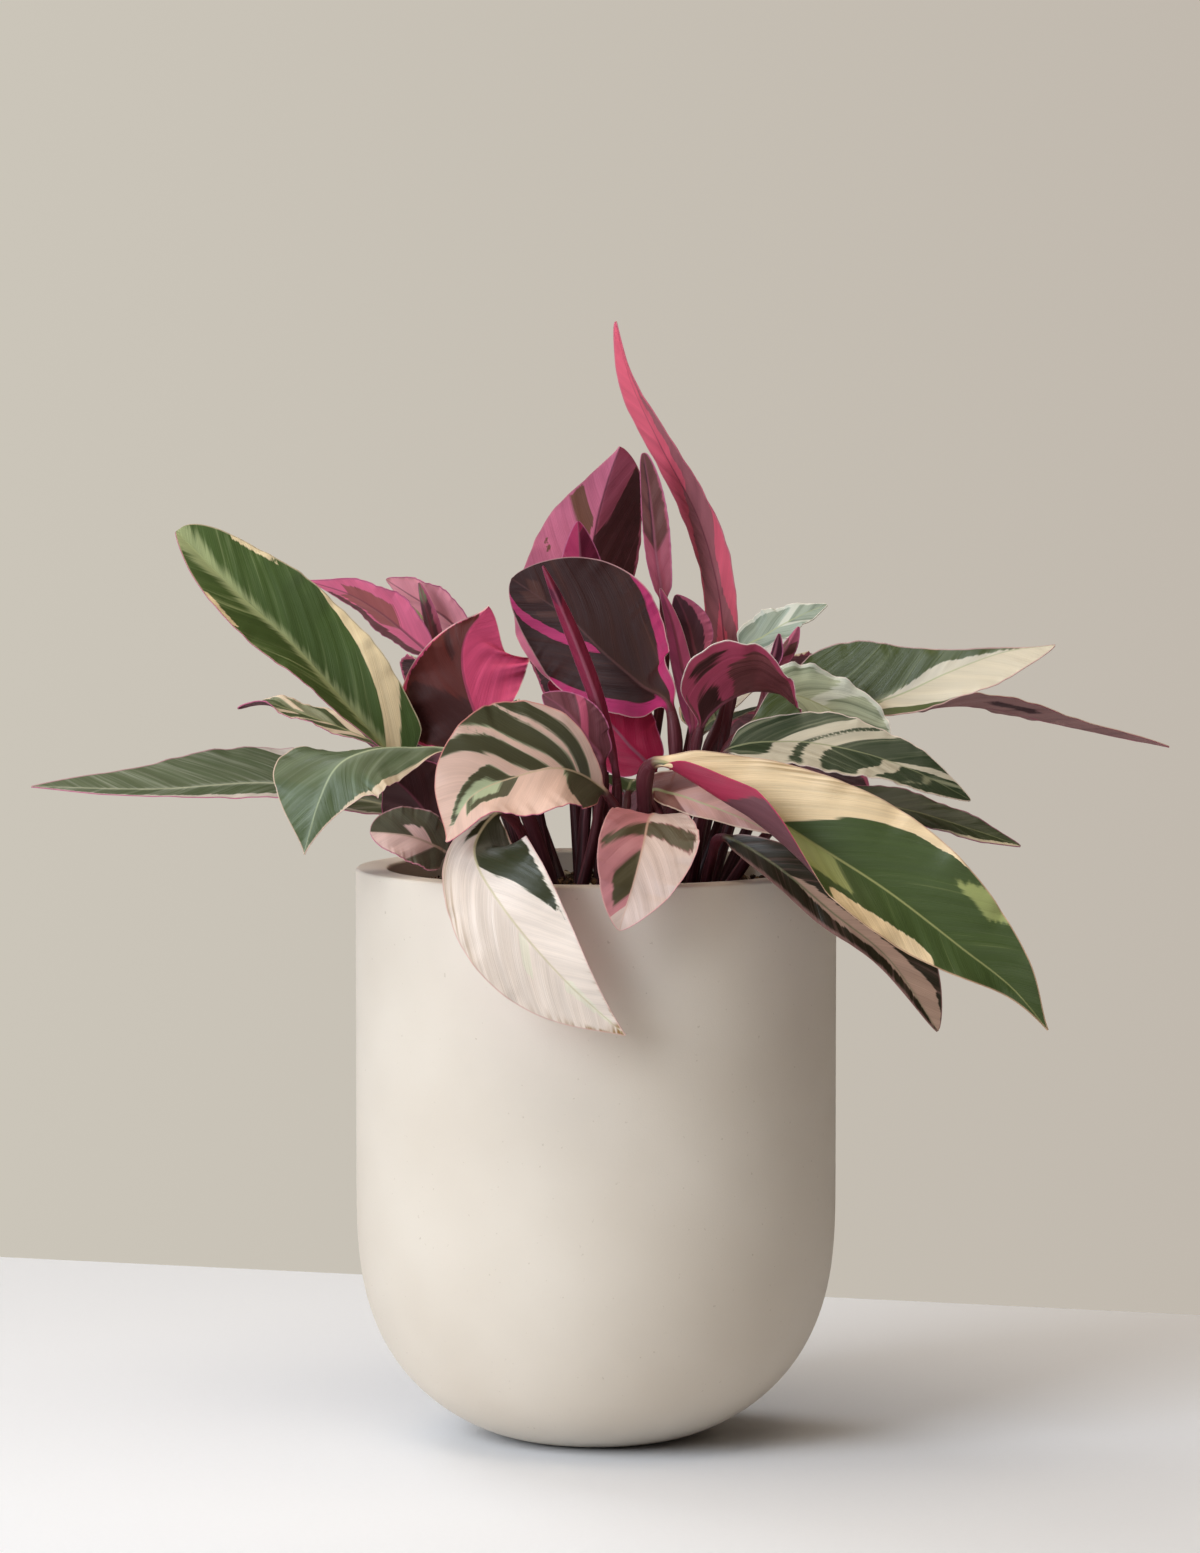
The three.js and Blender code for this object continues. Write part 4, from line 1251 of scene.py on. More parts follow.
        half=[13, 13], turn=180, fold=[20, 20],
    ),
    Leaf(
        name="leaf_31_centre_rolled", tone=Tone.MAGENTA, root=[36, 2], stalk=[[46, -2, 316]],
        rib=[[48, -6, 351], [46, 2, 368], [42, 8, 388], [38, 12, 406], [32, 14, 423]], half=[9, 9],
        turn=180, fold=[40, 40], curl=[30, 30],
    ),
    Leaf(
        name="leaf_32_centre_magenta", tone=Tone.MAGENTA, root=[14, -10], stalk=[[24, -6, 304]],
        rib=[[28, -4, 331], [16, 2, 346], [4, 8, 359], [-9, 12, 369], [-24, 14, 376]],
        half=[20, 20], turn=180, fold=[10, 10], stout=1.4,
    ),
    Leaf(
        name="leaf_33_centre_muted", tone=Tone.STRIPED, root=[-8, -50], stalk=[[0, -54, 308]],
        rib=[[3, -58, 340], [-3, -60, 351], [-10, -60, 361], [-17, -58, 368], [-26, -56, 374]],
        half=[13, 13], turn=180, fold=[10, 10],
    ),
    Leaf(
        name="leaf_34_right_shoot", tone=Tone.PLUM, root=[56, -8],
        stalk=[[72, -4, 324], [84, 0, 362]],
        rib=[[86, 1, 381], [87, 1, 386], [89, 2, 391], [90, 2, 396], [91, 2, 401]], half=[4, 4],
        turn=150, fold=[30, 30],
    ),
    rear_leaf(
        "leaf_35_rear_middle", Tone.GREEN, 27, [2, 54], [0, 72, 330],
        [[-2, 92, 366], [-6, 122, 384], [-10, 152, 382], [-12, 182, 364], [-14, 208, 336]],
    ),
    rear_leaf(
        "leaf_36_rear_right", Tone.STRIPED, 28, [24, 52], [38, 72, 316],
        [[52, 92, 344], [66, 118, 354], [78, 146, 348], [88, 172, 328], [95, 194, 298]],
    ),
    rear_leaf(
        "leaf_37_rear_left", Tone.GREEN, 27, [-18, 50], [-34, 70, 316],
        [[-48, 90, 344], [-60, 116, 354], [-72, 142, 348], [-82, 166, 328], [-90, 186, 300]],
    ),
    rear_leaf(
        "leaf_38_rear_left_low", Tone.CREAM, 20, [-42, 38], [-54, 50, 300],
        [[-66, 66, 316], [-76, 88, 321], [-84, 112, 314], [-90, 134, 296], [-94, 152, 270]],
    ),
    rear_leaf(
        "leaf_39_rear_right_low", Tone.GREEN, 24, [48, 40], [66, 54, 304],
        [[80, 66, 324], [98, 84, 330], [114, 104, 324], [126, 124, 306], [132, 142, 278]],
    ),
    Leaf(
        name="leaf_40_rear_upright", tone=Tone.PLUM, root=[-8, 44], stalk=[[-12, 62, 330]],
        rib=[[-16, 80, 376], [-14, 92, 402], [-10, 102, 424], [-6, 108, 442], [0, 110, 458]],
        half=[22, 22], turn=0, fold=[[20, 16], [20, 16]], wave=[1, 3],
    ),
    rear_leaf(
        "leaf_41_rear_right_upper", Tone.MAGENTA, 22, [38, 46], [50, 60, 320],
        [[62, 74, 352], [76, 92, 374], [88, 112, 382], [98, 132, 376], [106, 150, 360]],
        fold=[18, 12],
    ),
    rear_leaf(
        "leaf_42_rear_left_upper", Tone.GREEN, 21, [-32, 42], [-46, 56, 320],
        [[-58, 70, 350], [-70, 88, 372], [-80, 108, 380], [-87, 128, 374], [-92, 146, 358]],
        fold=[18, 12],
    ),
    rear_leaf(
        "leaf_43_rear_middle_low", Tone.STRIPED, 24, [12, 66], [14, 80, 298],
        [[16, 98, 314], [19, 122, 320], [21, 148, 312], [23, 172, 292], [25, 190, 264]],
    ),
]


# ---- Markings ----------------------------------------------------------------------------------

GREEN, GREY, CREAM = Shade
LEFT, RIGHT, BOTH = Half

# Marks for the leaves that have none of their own.
TONE_MARKS = {
    Tone.GREEN: Marks(
        patches=[
            Patch(CREAM, LEFT, 0.2, [0.36, 0.3, 0.26]),
            Patch(CREAM, RIGHT, [0.5, 0.54, 0.6], 0.66, 0.3), Patch(CREAM, BOTH, inner=0.93),
        ],
        flame=[2, 6, 4, 1],
    ),
    Tone.STRIPED: Marks(
        Skin(streaks=0.8), GREY,
        [
            Patch(GREEN, BOTH, -3, 0.1), Patch(CREAM, LEFT, 0.25, 0.4),
            Patch(CREAM, RIGHT, 0.12, [0.2, 0.3, 0.3]), Patch(GREEN, RIGHT, 0.5, 0.62),
            Patch(CREAM, BOTH, inner=0.92),
        ],
    ),
    Tone.CREAM: Marks(
        Skin(streaks=0.5), CREAM,
        [Patch(GREEN, RIGHT, -3, [0.3, 0.2, 0.1]), Patch(GREY, LEFT, 0.35, 0.5, -1, 0.7)],
        browned=[[0, 0, 0.3, 0.7], [0, 0, 0, 0.7]],
    ),
    Tone.MAGENTA: Marks(
        Skin(streaks=0.5), CREAM,
        [Patch(GREEN, LEFT, -3, [0.3, 0.25, 0.1]), Patch(GREY, RIGHT, 0.4, 0.6, 0.2)],
    ),
    Tone.PLUM: Marks(
        Skin(streaks=0.5), GREEN,
        [
            Patch(CREAM, RIGHT, 0.15, 0.28), Patch(GREY, LEFT, 0.4, 0.6),
            Patch(CREAM, BOTH, inner=0.9),
        ],
        flame=[2, 4, 1],
    ),
}

MARKS = {
    "leaf_01_left_upper": Marks(
        Skin(
            green="#4e6132", grey="#a8b17e", cream="#f6dcae", rib="#b2ba80", margin="#c9b391",
            streaks=0.3,
        ),
        GREEN,
        [
            Patch(
                CREAM, RIGHT, [0.06, 0.03, 0.015, -0.02, -0.07],
                [0.11, 0.105, 0.1, 0.105, 0.155, 0.27],
            ),
            Patch(CREAM, RIGHT, 0.46, 0.7, 0.9), Patch(CREAM, LEFT, 0.5, 0.68, 0.86),
        ],
        flame=[3, 3, 2.5, 2.5, 7],
    ),
    "leaf_02_left_level": Marks(
        Skin(
            green="#4c5a3a", grey="#8d9380", cream="#cabfb3", rib="#b6b998", margin="#b98a92",
            streaks=0.8,
        ),
        GREEN,
        [
            Patch(CREAM, LEFT, inner=[1.0, 0.85, 0.75, 0.75, 0.85, 1.0]),
            Patch(CREAM, RIGHT, -3, 0.22, 0.8),
        ],
        flame=[2, 2, 1, 0],
    ),
    "leaf_03_left_twisted": Marks(
        Skin(
            green="#52603f", grey="#6c7960", cream="#d9c4a6", maroon="#3f2028", rib="#b3bd98",
            streaks=0.9,
        ),
        GREEN, [Patch(CREAM, LEFT, inner=[0.9, 0.85, 0.8, 0.9, 0.95])], flame=[2, 3, 3, 2],
    ),
    "leaf_04_left_curled": Marks(
        Skin("#4c5a38", "#8a8f70", "#dccbb0", "#4c262c", "#7d4a55", "#b9566f", streaks=0.8), GREEN,
        [
            Patch(CREAM, BOTH, 0.08, 0.2), Patch(CREAM, LEFT, 0.3, 0.38),
            Patch(GREY, RIGHT, 0.3, 0.6), Patch(CREAM, BOTH, 0.5, 0.58, 0.2),
            Patch(CREAM, BOTH, inner=0.9),
        ],
    ),
    "leaf_05_left_pink": Marks(
        Skin(maroon="#734145", mauve="#ad6161", pink="#ec7598", keel="#8a4a58", streaks=0.6),
        CREAM, [Patch(GREY, BOTH, 0.29, 0.72, -1, 0.5), Patch(GREEN, RIGHT, -3, 0.8, 0.6)],
    ),
    "leaf_06_left_pale": Marks(
        Skin(grey="#a9a274", cream="#cf9a9c", mauve="#a9a274", pink="#ed9aa9", streaks=0.5), CREAM,
        [Patch(GREY, RIGHT, 0.1, 0.7, 0.75)], browned=[[0, 0, 0, 0.4, 1], [0, 0, 0, 0.4, 1]],
    ),
    "leaf_07_left_broad": Marks(
        Skin(maroon="#3e1a17", mauve="#56221c", pink="#d34f74", keel="#8c3a50", seam="#e0b3ac"),
        CREAM,
        [
            Patch(GREY, RIGHT, -3, 0.9, -1, [0.92, 0.92, 0.94, 0.9, 0.7]),
            Patch(GREEN, RIGHT, -3, [0.33, 0.24, 0.12, -0.04, -0.2], -1, 0.88),
            Patch(GREEN, RIGHT, 0.5, 0.56, 0.2, 0.8),
        ],
    ),
    "leaf_08_back_tall": Marks(
        Skin(maroon="#633e41", mauve="#764e41", pink="#c96e8a", keel="#5a2f38", seam="#cf7f92"),
        CREAM,
        [
            Patch(GREEN, LEFT, -3, [0.65, 0.63, 0.69, 0.73, 0.76], -1, 0.95),
            Patch(GREY, RIGHT, 0.58, 0.7, 0.08, 0.93), Patch(GREY, RIGHT, 0.27, 0.32, 0.7, 0.84),
        ],
    ),
    "leaf_09_centre_round": Marks(
        Skin(maroon="#321716", mauve="#4a2923", pink="#a82c60", keel="#54302f", seam="#b98a8c"),
        GREEN,
        [
            Patch(CREAM, RIGHT, [0.44, 0.45, 0.5, 0.62, 0.8], [0.49, 0.55, 0.68, 0.82, 0.95]),
            Patch(GREY, BOTH, 0.68, 0.74, -1, 0.4), Patch(GREY, BOTH, 0.82, 0.9, -1, 0.3),
            Patch(CREAM, RIGHT, -3, [0.11, 0.08, 0.06, 0.07, 0.12]),
            Patch(CREAM, LEFT, inner=[0.45, 0.6, 0.75, 0.85, 0.95, 1.2, 1.2]),
        ],
    ),
    "leaf_10_centre_spear": Marks(
        Skin(maroon="#5a2438", mauve="#7d243c", pink="#872a44", streaks=0.4), CREAM,
        [Patch(GREY, BOTH, -3, 0.3), Patch(GREEN, BOTH, 0.8, 0.88)],
    ),
    "leaf_11_back_narrow": Marks(
        Skin(maroon="#4a3034", mauve="#6b413f", pink="#a55264", streaks=0.4), GREY,
        [
            Patch(CREAM, BOTH, -3, 0.35), Patch(GREEN, RIGHT, 0.4, 3, -1, 0.2),
            Patch(CREAM, LEFT, inner=0.85),
        ],
    ),
    "leaf_12_back_tallest": Marks(
        Skin(maroon="#5c3038", mauve="#a5636b", pink="#df6378", keel="#7a3c48", seam="#d5788a"),
        CREAM,
        [
            Patch(
                GREY, RIGHT, inner=[0.5, 0.5, 0.43, 0.02, -1, -1, 0, 0, 0, 0, 0],
                outer=[0.9, 0.9, 0.91, 0.91, 0.85, 0.57, -0.1, -0.1, -0.1, -0.1, -0.1],
            ),
            Patch(
                GREY, LEFT, inner=[0.15, 0.15, 0.15, -0.5, -0.5, -0.5, 0.35, 0.48, 0.45, 0.6, 1.2],
                outer=[0.9, 0.9, 0.9, 0.21, 0.25, 0.9, 1.1, 1.1, 0.8, 0.7, 0],
            ),
        ],
    ),
    "leaf_13_back_dark": Marks(
        Skin(maroon="#5d3943", pink="#c66582"), GREEN, [Patch(CREAM, LEFT, inner=0.57)],
    ),
    "leaf_14_right_folded": Marks(
        Skin(
            green="#5d6a52", grey="#b6bfa4", cream="#d6dbcd", maroon="#3a1a1a", mauve="#713d3f",
            pink="#a14058", margin="#ece2d8", seam="#d9b7b4", streaks=0.75,
        ),
        GREY,
        [
            Patch(CREAM, RIGHT, -3, [0.05, -0.04, -0.2, -0.33, -0.5]),
            Patch(
                GREEN, RIGHT, [0.05, -0.04, -0.2, -0.33, -0.5], [0.15, 0.06, -0.08, -0.19, -0.33],
                -1, 0.84,
            ),
            Patch(
                CREAM, RIGHT, [0.15, 0.06, -0.08, -0.19, -0.33], [0.2, 0.11, -0.03, -0.14, -0.28],
            ),
            Patch(CREAM, LEFT, [0.58, 0.5, 0.38], [0.64, 0.56, 0.46]),
            Patch(CREAM, RIGHT, 0.68, 0.73), Patch(CREAM, BOTH, inner=0.87),
        ],
        crinkle=3.0,
    ),
    "leaf_15_right_pale": Marks(
        Skin(
            green="#5f7060", grey="#93a091", cream="#c4c8bc", rib="#a3ad80", margin="#e0d9cc",
            streaks=0.9,
        ),
        GREY, [Patch(CREAM, LEFT, inner=0.8), Patch(CREAM, BOTH, 0.45, 0.55)],
    ),
    "leaf_16_right_spear": Marks(
        Skin(maroon="#4a2630", mauve="#6a4440", pink="#b65b73"), CREAM,
        [Patch(GREY, BOTH, 0.3, 0.6)],
    ),
    "leaf_17_right_large": Marks(
        Skin(green="#485224", grey="#7f8560", cream="#d0c6b0", rib="#a3a97c", margin="#c9a09a"),
        GREEN,
        [
            Patch(CREAM, LEFT, 0.43, outer=[0, 0, 0, 0, 0.05, 0.22, 0.46, 0.46, 0.4, 0.4, 0.5]),
            Patch(
                CREAM, RIGHT, [0.44, 0.4, 0.37, 0.35, 0.35],
                outer=[0.5, 0.5, 0.5, 0.5, 0.6, 0.78, 0.95, 1.1, 1.1, 1.1, 1.1],
            ),
        ],
        flame=[1, 2, 3, 2, 0],
    ),
    "leaf_18_right_edgewise": Marks(
        Skin(maroon="#3f2228", mauve="#946e6d", pink="#b05a74", seam="#a02858"), GREY,
        [
            Patch(GREEN, RIGHT, 0.36, 0.52, 0.3, 0.6), Patch(CREAM, LEFT, 0.5, 0.7),
            Patch(CREAM, LEFT, 0.77, 0.96),
        ],
    ),
    "leaf_19_right_striped": Marks(
        Skin(green="#313f29", grey="#8b8e73", cream="#c5bda8", rib="#8f9470", margin="#e3cfc2"),
        GREEN,
        [
            Patch(CREAM, RIGHT, [0.2, 0.03, -0.2], [0.3, 0.1, -0.15]),
            Patch(CREAM, RIGHT, [0.34, 0.13, -0.11], [0.43, 0.2, -0.05]),
            Patch(CREAM, LEFT, [0.2, 0.22, 0.22], [0.3, 0.31, 0.3]),
            Patch(CREAM, LEFT, [0.34, 0.35, 0.35], [0.43, 0.43, 0.43]),
            Patch(CREAM, RIGHT, [0.62, 0.55, 0.42, 0.24, 0.12], [0.7, 0.63, 0.53, 0.36, 0.18]),
            Patch(CREAM, LEFT, [0.64, 0.71, 0.74, 0.77, 0.8], [0.72, 0.78, 0.82, 0.84, 0.87]),
            Patch(GREY, RIGHT, [0.8, 0.68, 0.32], [0.83, 0.71, 0.36]),
            Patch(GREY, LEFT, [0.82, 0.86, 0.9], [0.86, 0.9, 0.94]),
            Patch(CREAM, RIGHT, inner=0.92),
        ],
    ),
    "leaf_20_right_largest": Marks(
        Skin(
            green="#47562d", grey="#9aa062", cream="#f6d9ad", maroon="#663f45", mauve="#6b4050",
            pink="#9c3049", rib="#a9a86c", margin="#c8a284", seam="#b8325a", streaks=0.0,
        ),
        GREEN,
        [
            Patch(CREAM, RIGHT, -3, [0.12, 0.1, 0.02], 0.3),
            Patch(GREY, RIGHT, 0.28, 0.43, -1, 0.45),
            Patch(CREAM, LEFT, -3, [0.3, 0.3, 0.29, 0.27, 0.28, 0.4]),
            Patch(GREY, LEFT, 0.48, 0.62, 0.7),
            Patch(CREAM, RIGHT, [0.4, 0.38, 0.35, 0.3, 0.25], [0.5, 0.53, 0.59, 0.63, 0.62], 0.6),
        ],
        browned=[[0.8, 1, 0.8, 0.3, 0, 0, 0, 0, 0], [0]], crinkle=2.0,
    ),
    "leaf_21_right_hanging": Marks(
        Skin(green="#2c2516", grey="#8c6a60", cream="#af8e79", rib="#6a6a4a", margin="#8f6a62"),
        GREEN,
        [
            Patch(CREAM, RIGHT, outer=[0, 0, 0, 0, 0.1, 0.25, 0.28, 0.28, 0.2, 0.1, 0]),
            Patch(CREAM, LEFT, outer=[0, 0, 0, 0, 0.2, 0.2, 0.21, 0.21, 0.34, 0.73, 0.9]),
            Patch(GREY, RIGHT, inner=0.85),
        ],
    ),
    "leaf_22_right_low": Marks(
        Skin(green="#3a4428", grey="#7f8560", cream="#d8cbae", rib="#8c9068", margin="#a0607a"),
        GREEN,
        [Patch(CREAM, RIGHT, inner=[1.2, 1.2, 1.2, 1.2, 1.2, 1.2, 0.95, 0.75, 0.72, 0.5, 0.1])],
    ),
    "leaf_23_front_arched": Marks(
        Skin(
            green="#4c4a34", grey="#aab38f", cream="#dcb9a8", rib="#c9b090", margin="#d98f86",
            streaks=0.5,
        ),
        CREAM,
        [
            Patch(GREEN, RIGHT, 0.12, 0.19), Patch(GREEN, RIGHT, 0.21, [0.28, 0.33, 0.4]),
            Patch(GREEN, RIGHT, [0.34, 0.38, 0.46], [0.45, 0.5, 0.55]),
            Patch(GREEN, RIGHT, 0.54, 0.9, -1, 0.3), Patch(GREEN, LEFT, 0.52, 0.8, -1, 0.4),
            Patch(GREY, RIGHT, 0.62, 0.86, -1, 0.16), Patch(GREY, LEFT, 0.6, 0.75, -1, 0.22),
            Patch(GREEN, LEFT, -3, [0.28, 0.2, 0.05]),
        ],
        lean=0.9, bend=0.0,
    ),
    "leaf_24_left_low": Marks(
        Skin(green="#5c5a4a", grey="#7f8568", cream="#e2c1bb", rib="#b9a08c", margin="#b98a8c"),
        GREEN, [Patch(CREAM, LEFT, 0.22, 1.5), Patch(CREAM, RIGHT, 0.27, 0.5, -1, 0.4)],
    ),
    "leaf_25_front_cream": Marks(
        Skin(
            green="#34371f", grey="#ebe3ce", cream="#eeded0", rib="#cfc39a", margin="#dcb8ac",
            streaks=-0.8,
        ),
        CREAM,
        [
            Patch(GREEN, LEFT, -3, [0.26, 0.29, 0.28, 0.3, 0.33, 0.42], -1, 0.91),
            Patch(GREEN, RIGHT, -3, 0.13, -1, 0.55), Patch(GREY, RIGHT, 0.52, 0.57, -1, 0.4),
            Patch(GREY, BOTH, 0.74, 0.94, -1, 0.15),
        ],
        browned=[[0, 0, 0, 0, 0, 0, 0.6, 2], [0, 0, 0.9, 1, 0.4, 0, 0.6, 2]],
    ),
    "leaf_26_front_small": Marks(
        Skin(
            green="#4e4630", grey="#be7c7f", cream="#ccb4a8", rib="#c9a08c", margin="#d9a09c",
            streaks=0.2,
        ),
        CREAM,
        [
            Patch(GREY, RIGHT, -3, 0.85),
            Patch(GREEN, RIGHT, [0.25, 0.21, 0.12], [0.4, 0.29, 0.2], -1, 0.93),
            Patch(GREEN, LEFT, [0.25, 0.05, -0.17], [0.4, 0.22, 0.0], -1, 0.93),
            Patch(GREEN, RIGHT, 0.5, 0.78, -1, [0.5, 0.5, 0.5, 0.6, 0.5]),
        ],
    ),
    # Painted shade: this leaf's brown grey and its sector over the base of the blade stand for the
    # shade on it.
    "leaf_27_right_blush": Marks(
        Skin(green="#6a5a4a", grey="#78453d", cream="#bc9087", pink="#b5847e"), CREAM,
        [Patch(GREY, BOTH, -3, 0.2)],
    ),
    "leaf_28_left_plum": Marks(
        Skin(green="#4a2f38", grey="#6a4450", cream="#a05a70", maroon="#523537"), GREEN,
    ),
    "leaf_29_left_spear": Marks(
        Skin("#6a5a50", "#7f8468", "#b9607c", "#6e4650", "#7f8468", "#b9607c"), GREEN,
        [Patch(GREY, BOTH, 0.75, 3), Patch(CREAM, LEFT, inner=0.5)],
    ),
    "leaf_30_centre_tip": Marks(
        Skin(maroon="#691f37", pink="#a42a55"), CREAM, [Patch(GREEN, LEFT, -3, 0.9)],
    ),
    "leaf_31_centre_rolled": Marks(Skin(cream="#d8b0b4", pink="#da6598", seam="#ead8d4"), CREAM),
    "leaf_32_centre_magenta": Marks(Skin(cream="#b8406a", pink="#a51f42"), CREAM),
    "leaf_33_centre_muted": Marks(
        Skin(green="#5d6a4c", grey="#8a8f78", cream="#d0b8ac", mauve="#713f46", streaks=0.7), GREY,
        [Patch(CREAM, BOTH, 0.3, 0.45)],
    ),
    "leaf_34_right_shoot": Marks(Skin(maroon="#4a2430", mauve="#6a3c48"), GREEN),
}


# ---- Pot ---------------------------------------------------------------------------------------


@dataclass(frozen=True)
class MattStoneware:
    """Matt glazed stoneware: cast and fired, with a fine dry grain and no sharp highlight.

    Attributes:
        body, shade: the glaze's warm off-white and the slightly darker clouds in it.
        speck: the sparse fired specks.
        grain: the size of the glaze's grain in millimetres.
        specks: the size of its specks in millimetres.
        cloud: the size of its clouds in millimetres.
        relief: the grain's height in millimetres.
        shine: how strongly the glaze mirrors.
    """

    body: str = "#e6dbcc"
    shade: str = "#dfd3c3"
    speck: str = "#b9a993"
    grain: float = 0.8
    specks: float = 2.4
    cloud: float = 90.0
    relief: float = 0.05
    shine: float = 0.4

    def material(self) -> bpy.types.Material:
        """Builds the glaze from soft clouds, sparse specks and a fine dry grain.

        Returns:
            The glaze, which reads a point's place in its object.
        """
        material, tree = new_material("matt stoneware glaze")
        where = add_node(tree, "TexCoord", output=OBJECT_PLACE)
        cloud, specks, fine = (
            add_node(tree, "TexNoise", {"Vector": where, "Scale": 1.0 / (size * MM)})
            for size in (self.cloud, self.specks, self.grain)
        )
        clouded = add_node(tree, "MapRange", [cloud, 0.35, 0.65])
        speckled = add_node(tree, "MapRange", [specks, 0.72, 0.78, 0.0, 0.5])
        colour = layered(tree, self.body, [(clouded, self.shade), (speckled, self.speck)])
        roughness = add_node(tree, "MapRange", [fine, 0.3, 0.7, 0.62, 0.78])
        finish_material(tree, colour, fine, self.relief, roughness, self.shine)
        return material


def bowl_profile(radius: float, reach: float, low: float, steps: int) -> Array:
    """Follows a round-bottomed wall from the axis at its low point out and up.

    After a flat middle it is a quarter superellipse: its drop is the cosine to the power of two
    over the rise power, and its reach the sine to the power of two over the reach power.

    Args:
        radius: the straight wall's radius.
        reach: how far in from the wall the curve begins.
        low: the flat middle's height.
        steps: how many steps the curve has.

    Returns:
        The radius and height of each step.
    """
    angle = np.linspace(0.0, np.pi / 2.0, steps + 1)
    drop = np.clip(np.cos(angle), 0.0, 1.0) ** (2.0 / POT_RISE_POWER)
    out = np.sin(angle) ** (2.0 / POT_REACH_POWER)
    height = POT_CURVE_HEIGHT - (POT_CURVE_HEIGHT - low) * drop
    wall = np.stack([radius - reach + reach * out, height], axis=-1)
    return np.concatenate([[[0.0, low]], wall])


@dataclass(frozen=True)
class Pot:
    """The round-bottomed cylinder pot.

    Attributes:
        sides: steps round the pot.
        curve_steps: steps up each curved wall.
        wall_steps: steps up each straight wall.
        rim_steps: steps round each edge of the rim.
    """

    sides: int = 160
    curve_steps: int = 40
    wall_steps: int = 12
    rim_steps: int = 5

    def profile(self) -> Array:
        """Goes from the axis below, up the outside, over the rounded rim and down the inside.

        Each edge of the rim is a quarter circle.

        Returns:
            The radius and height of each step.
        """
        inner = POT_RADIUS - POT_WALL
        edge = POT_HEIGHT - POT_RIM_ROUND
        heights = np.linspace(POT_CURVE_HEIGHT, edge, self.wall_steps)[1:-1]
        turn = np.linspace(0.0, np.pi / 2.0, self.rim_steps)
        side, rise = POT_RIM_ROUND * np.cos(turn), POT_RIM_ROUND * np.sin(turn)
        outer_edge = np.stack([POT_RADIUS - POT_RIM_ROUND + side, edge + rise], axis=-1)
        inner_edge = np.stack([inner + POT_RIM_ROUND - side, edge + rise], axis=-1)[::-1]
        outside = bowl_profile(POT_RADIUS, POT_CURVE_REACH, 0.0, self.curve_steps)
        inside = bowl_profile(inner, POT_INNER_REACH, POT_FLOOR, self.curve_steps)
        outer_wall = np.stack([np.full_like(heights, POT_RADIUS), heights], axis=-1)
        inner_wall = np.stack([np.full_like(heights, inner), heights], axis=-1)[::-1]
        return np.concatenate(
            [outside, outer_wall, outer_edge, inner_edge, inner_wall, inside[::-1]]
        )

    def build(self) -> bpy.types.Object:
        """Turns the pot and glazes it.

        Returns:
            The pot's object.
        """
        corners, faces = revolve(self.profile(), self.sides)
        piece = new_piece("pot_fine", corners, faces, [MattStoneware().material()])
        place_piece(piece, "pot")
        return piece


# ---- Potting mix -------------------------------------------------------------------------------


@dataclass(frozen=True)
class Compost:
    """Damp peat and bark: dark brown, matt and crumbly.

    Attributes:
        name: the material's name.
        dark, light: the crumb's two browns.
        crumb: the size of a crumb in millimetres.
        relief: the crumbs' height in millimetres.
        roughness: how matt it is.
        shine: how strongly it mirrors.
    """

    name: str
    dark: str
    light: str
    crumb: float
    relief: float = 1.2
    roughness: float = 0.95
    shine: float = 0.2

    def material(self) -> bpy.types.Material:
        """Builds the crumb's colour and relief from noise at the crumb's own size.

        Returns:
            The mix's material, which reads a point's place in its object.
        """
        material, tree = new_material(self.name)
        where = add_node(tree, "TexCoord", output=OBJECT_PLACE)
        crumbs = add_node(
            tree, "TexNoise", {"Vector": where, "Scale": 1.0 / (self.crumb * MM), "Detail": 4.0}
        )
        share = add_node(tree, "MapRange", [crumbs, 0.35, 0.65])
        colour = layered(tree, self.dark, [(share, self.light)])
        finish_material(tree, colour, crumbs, self.relief, self.roughness, self.shine)
        return material


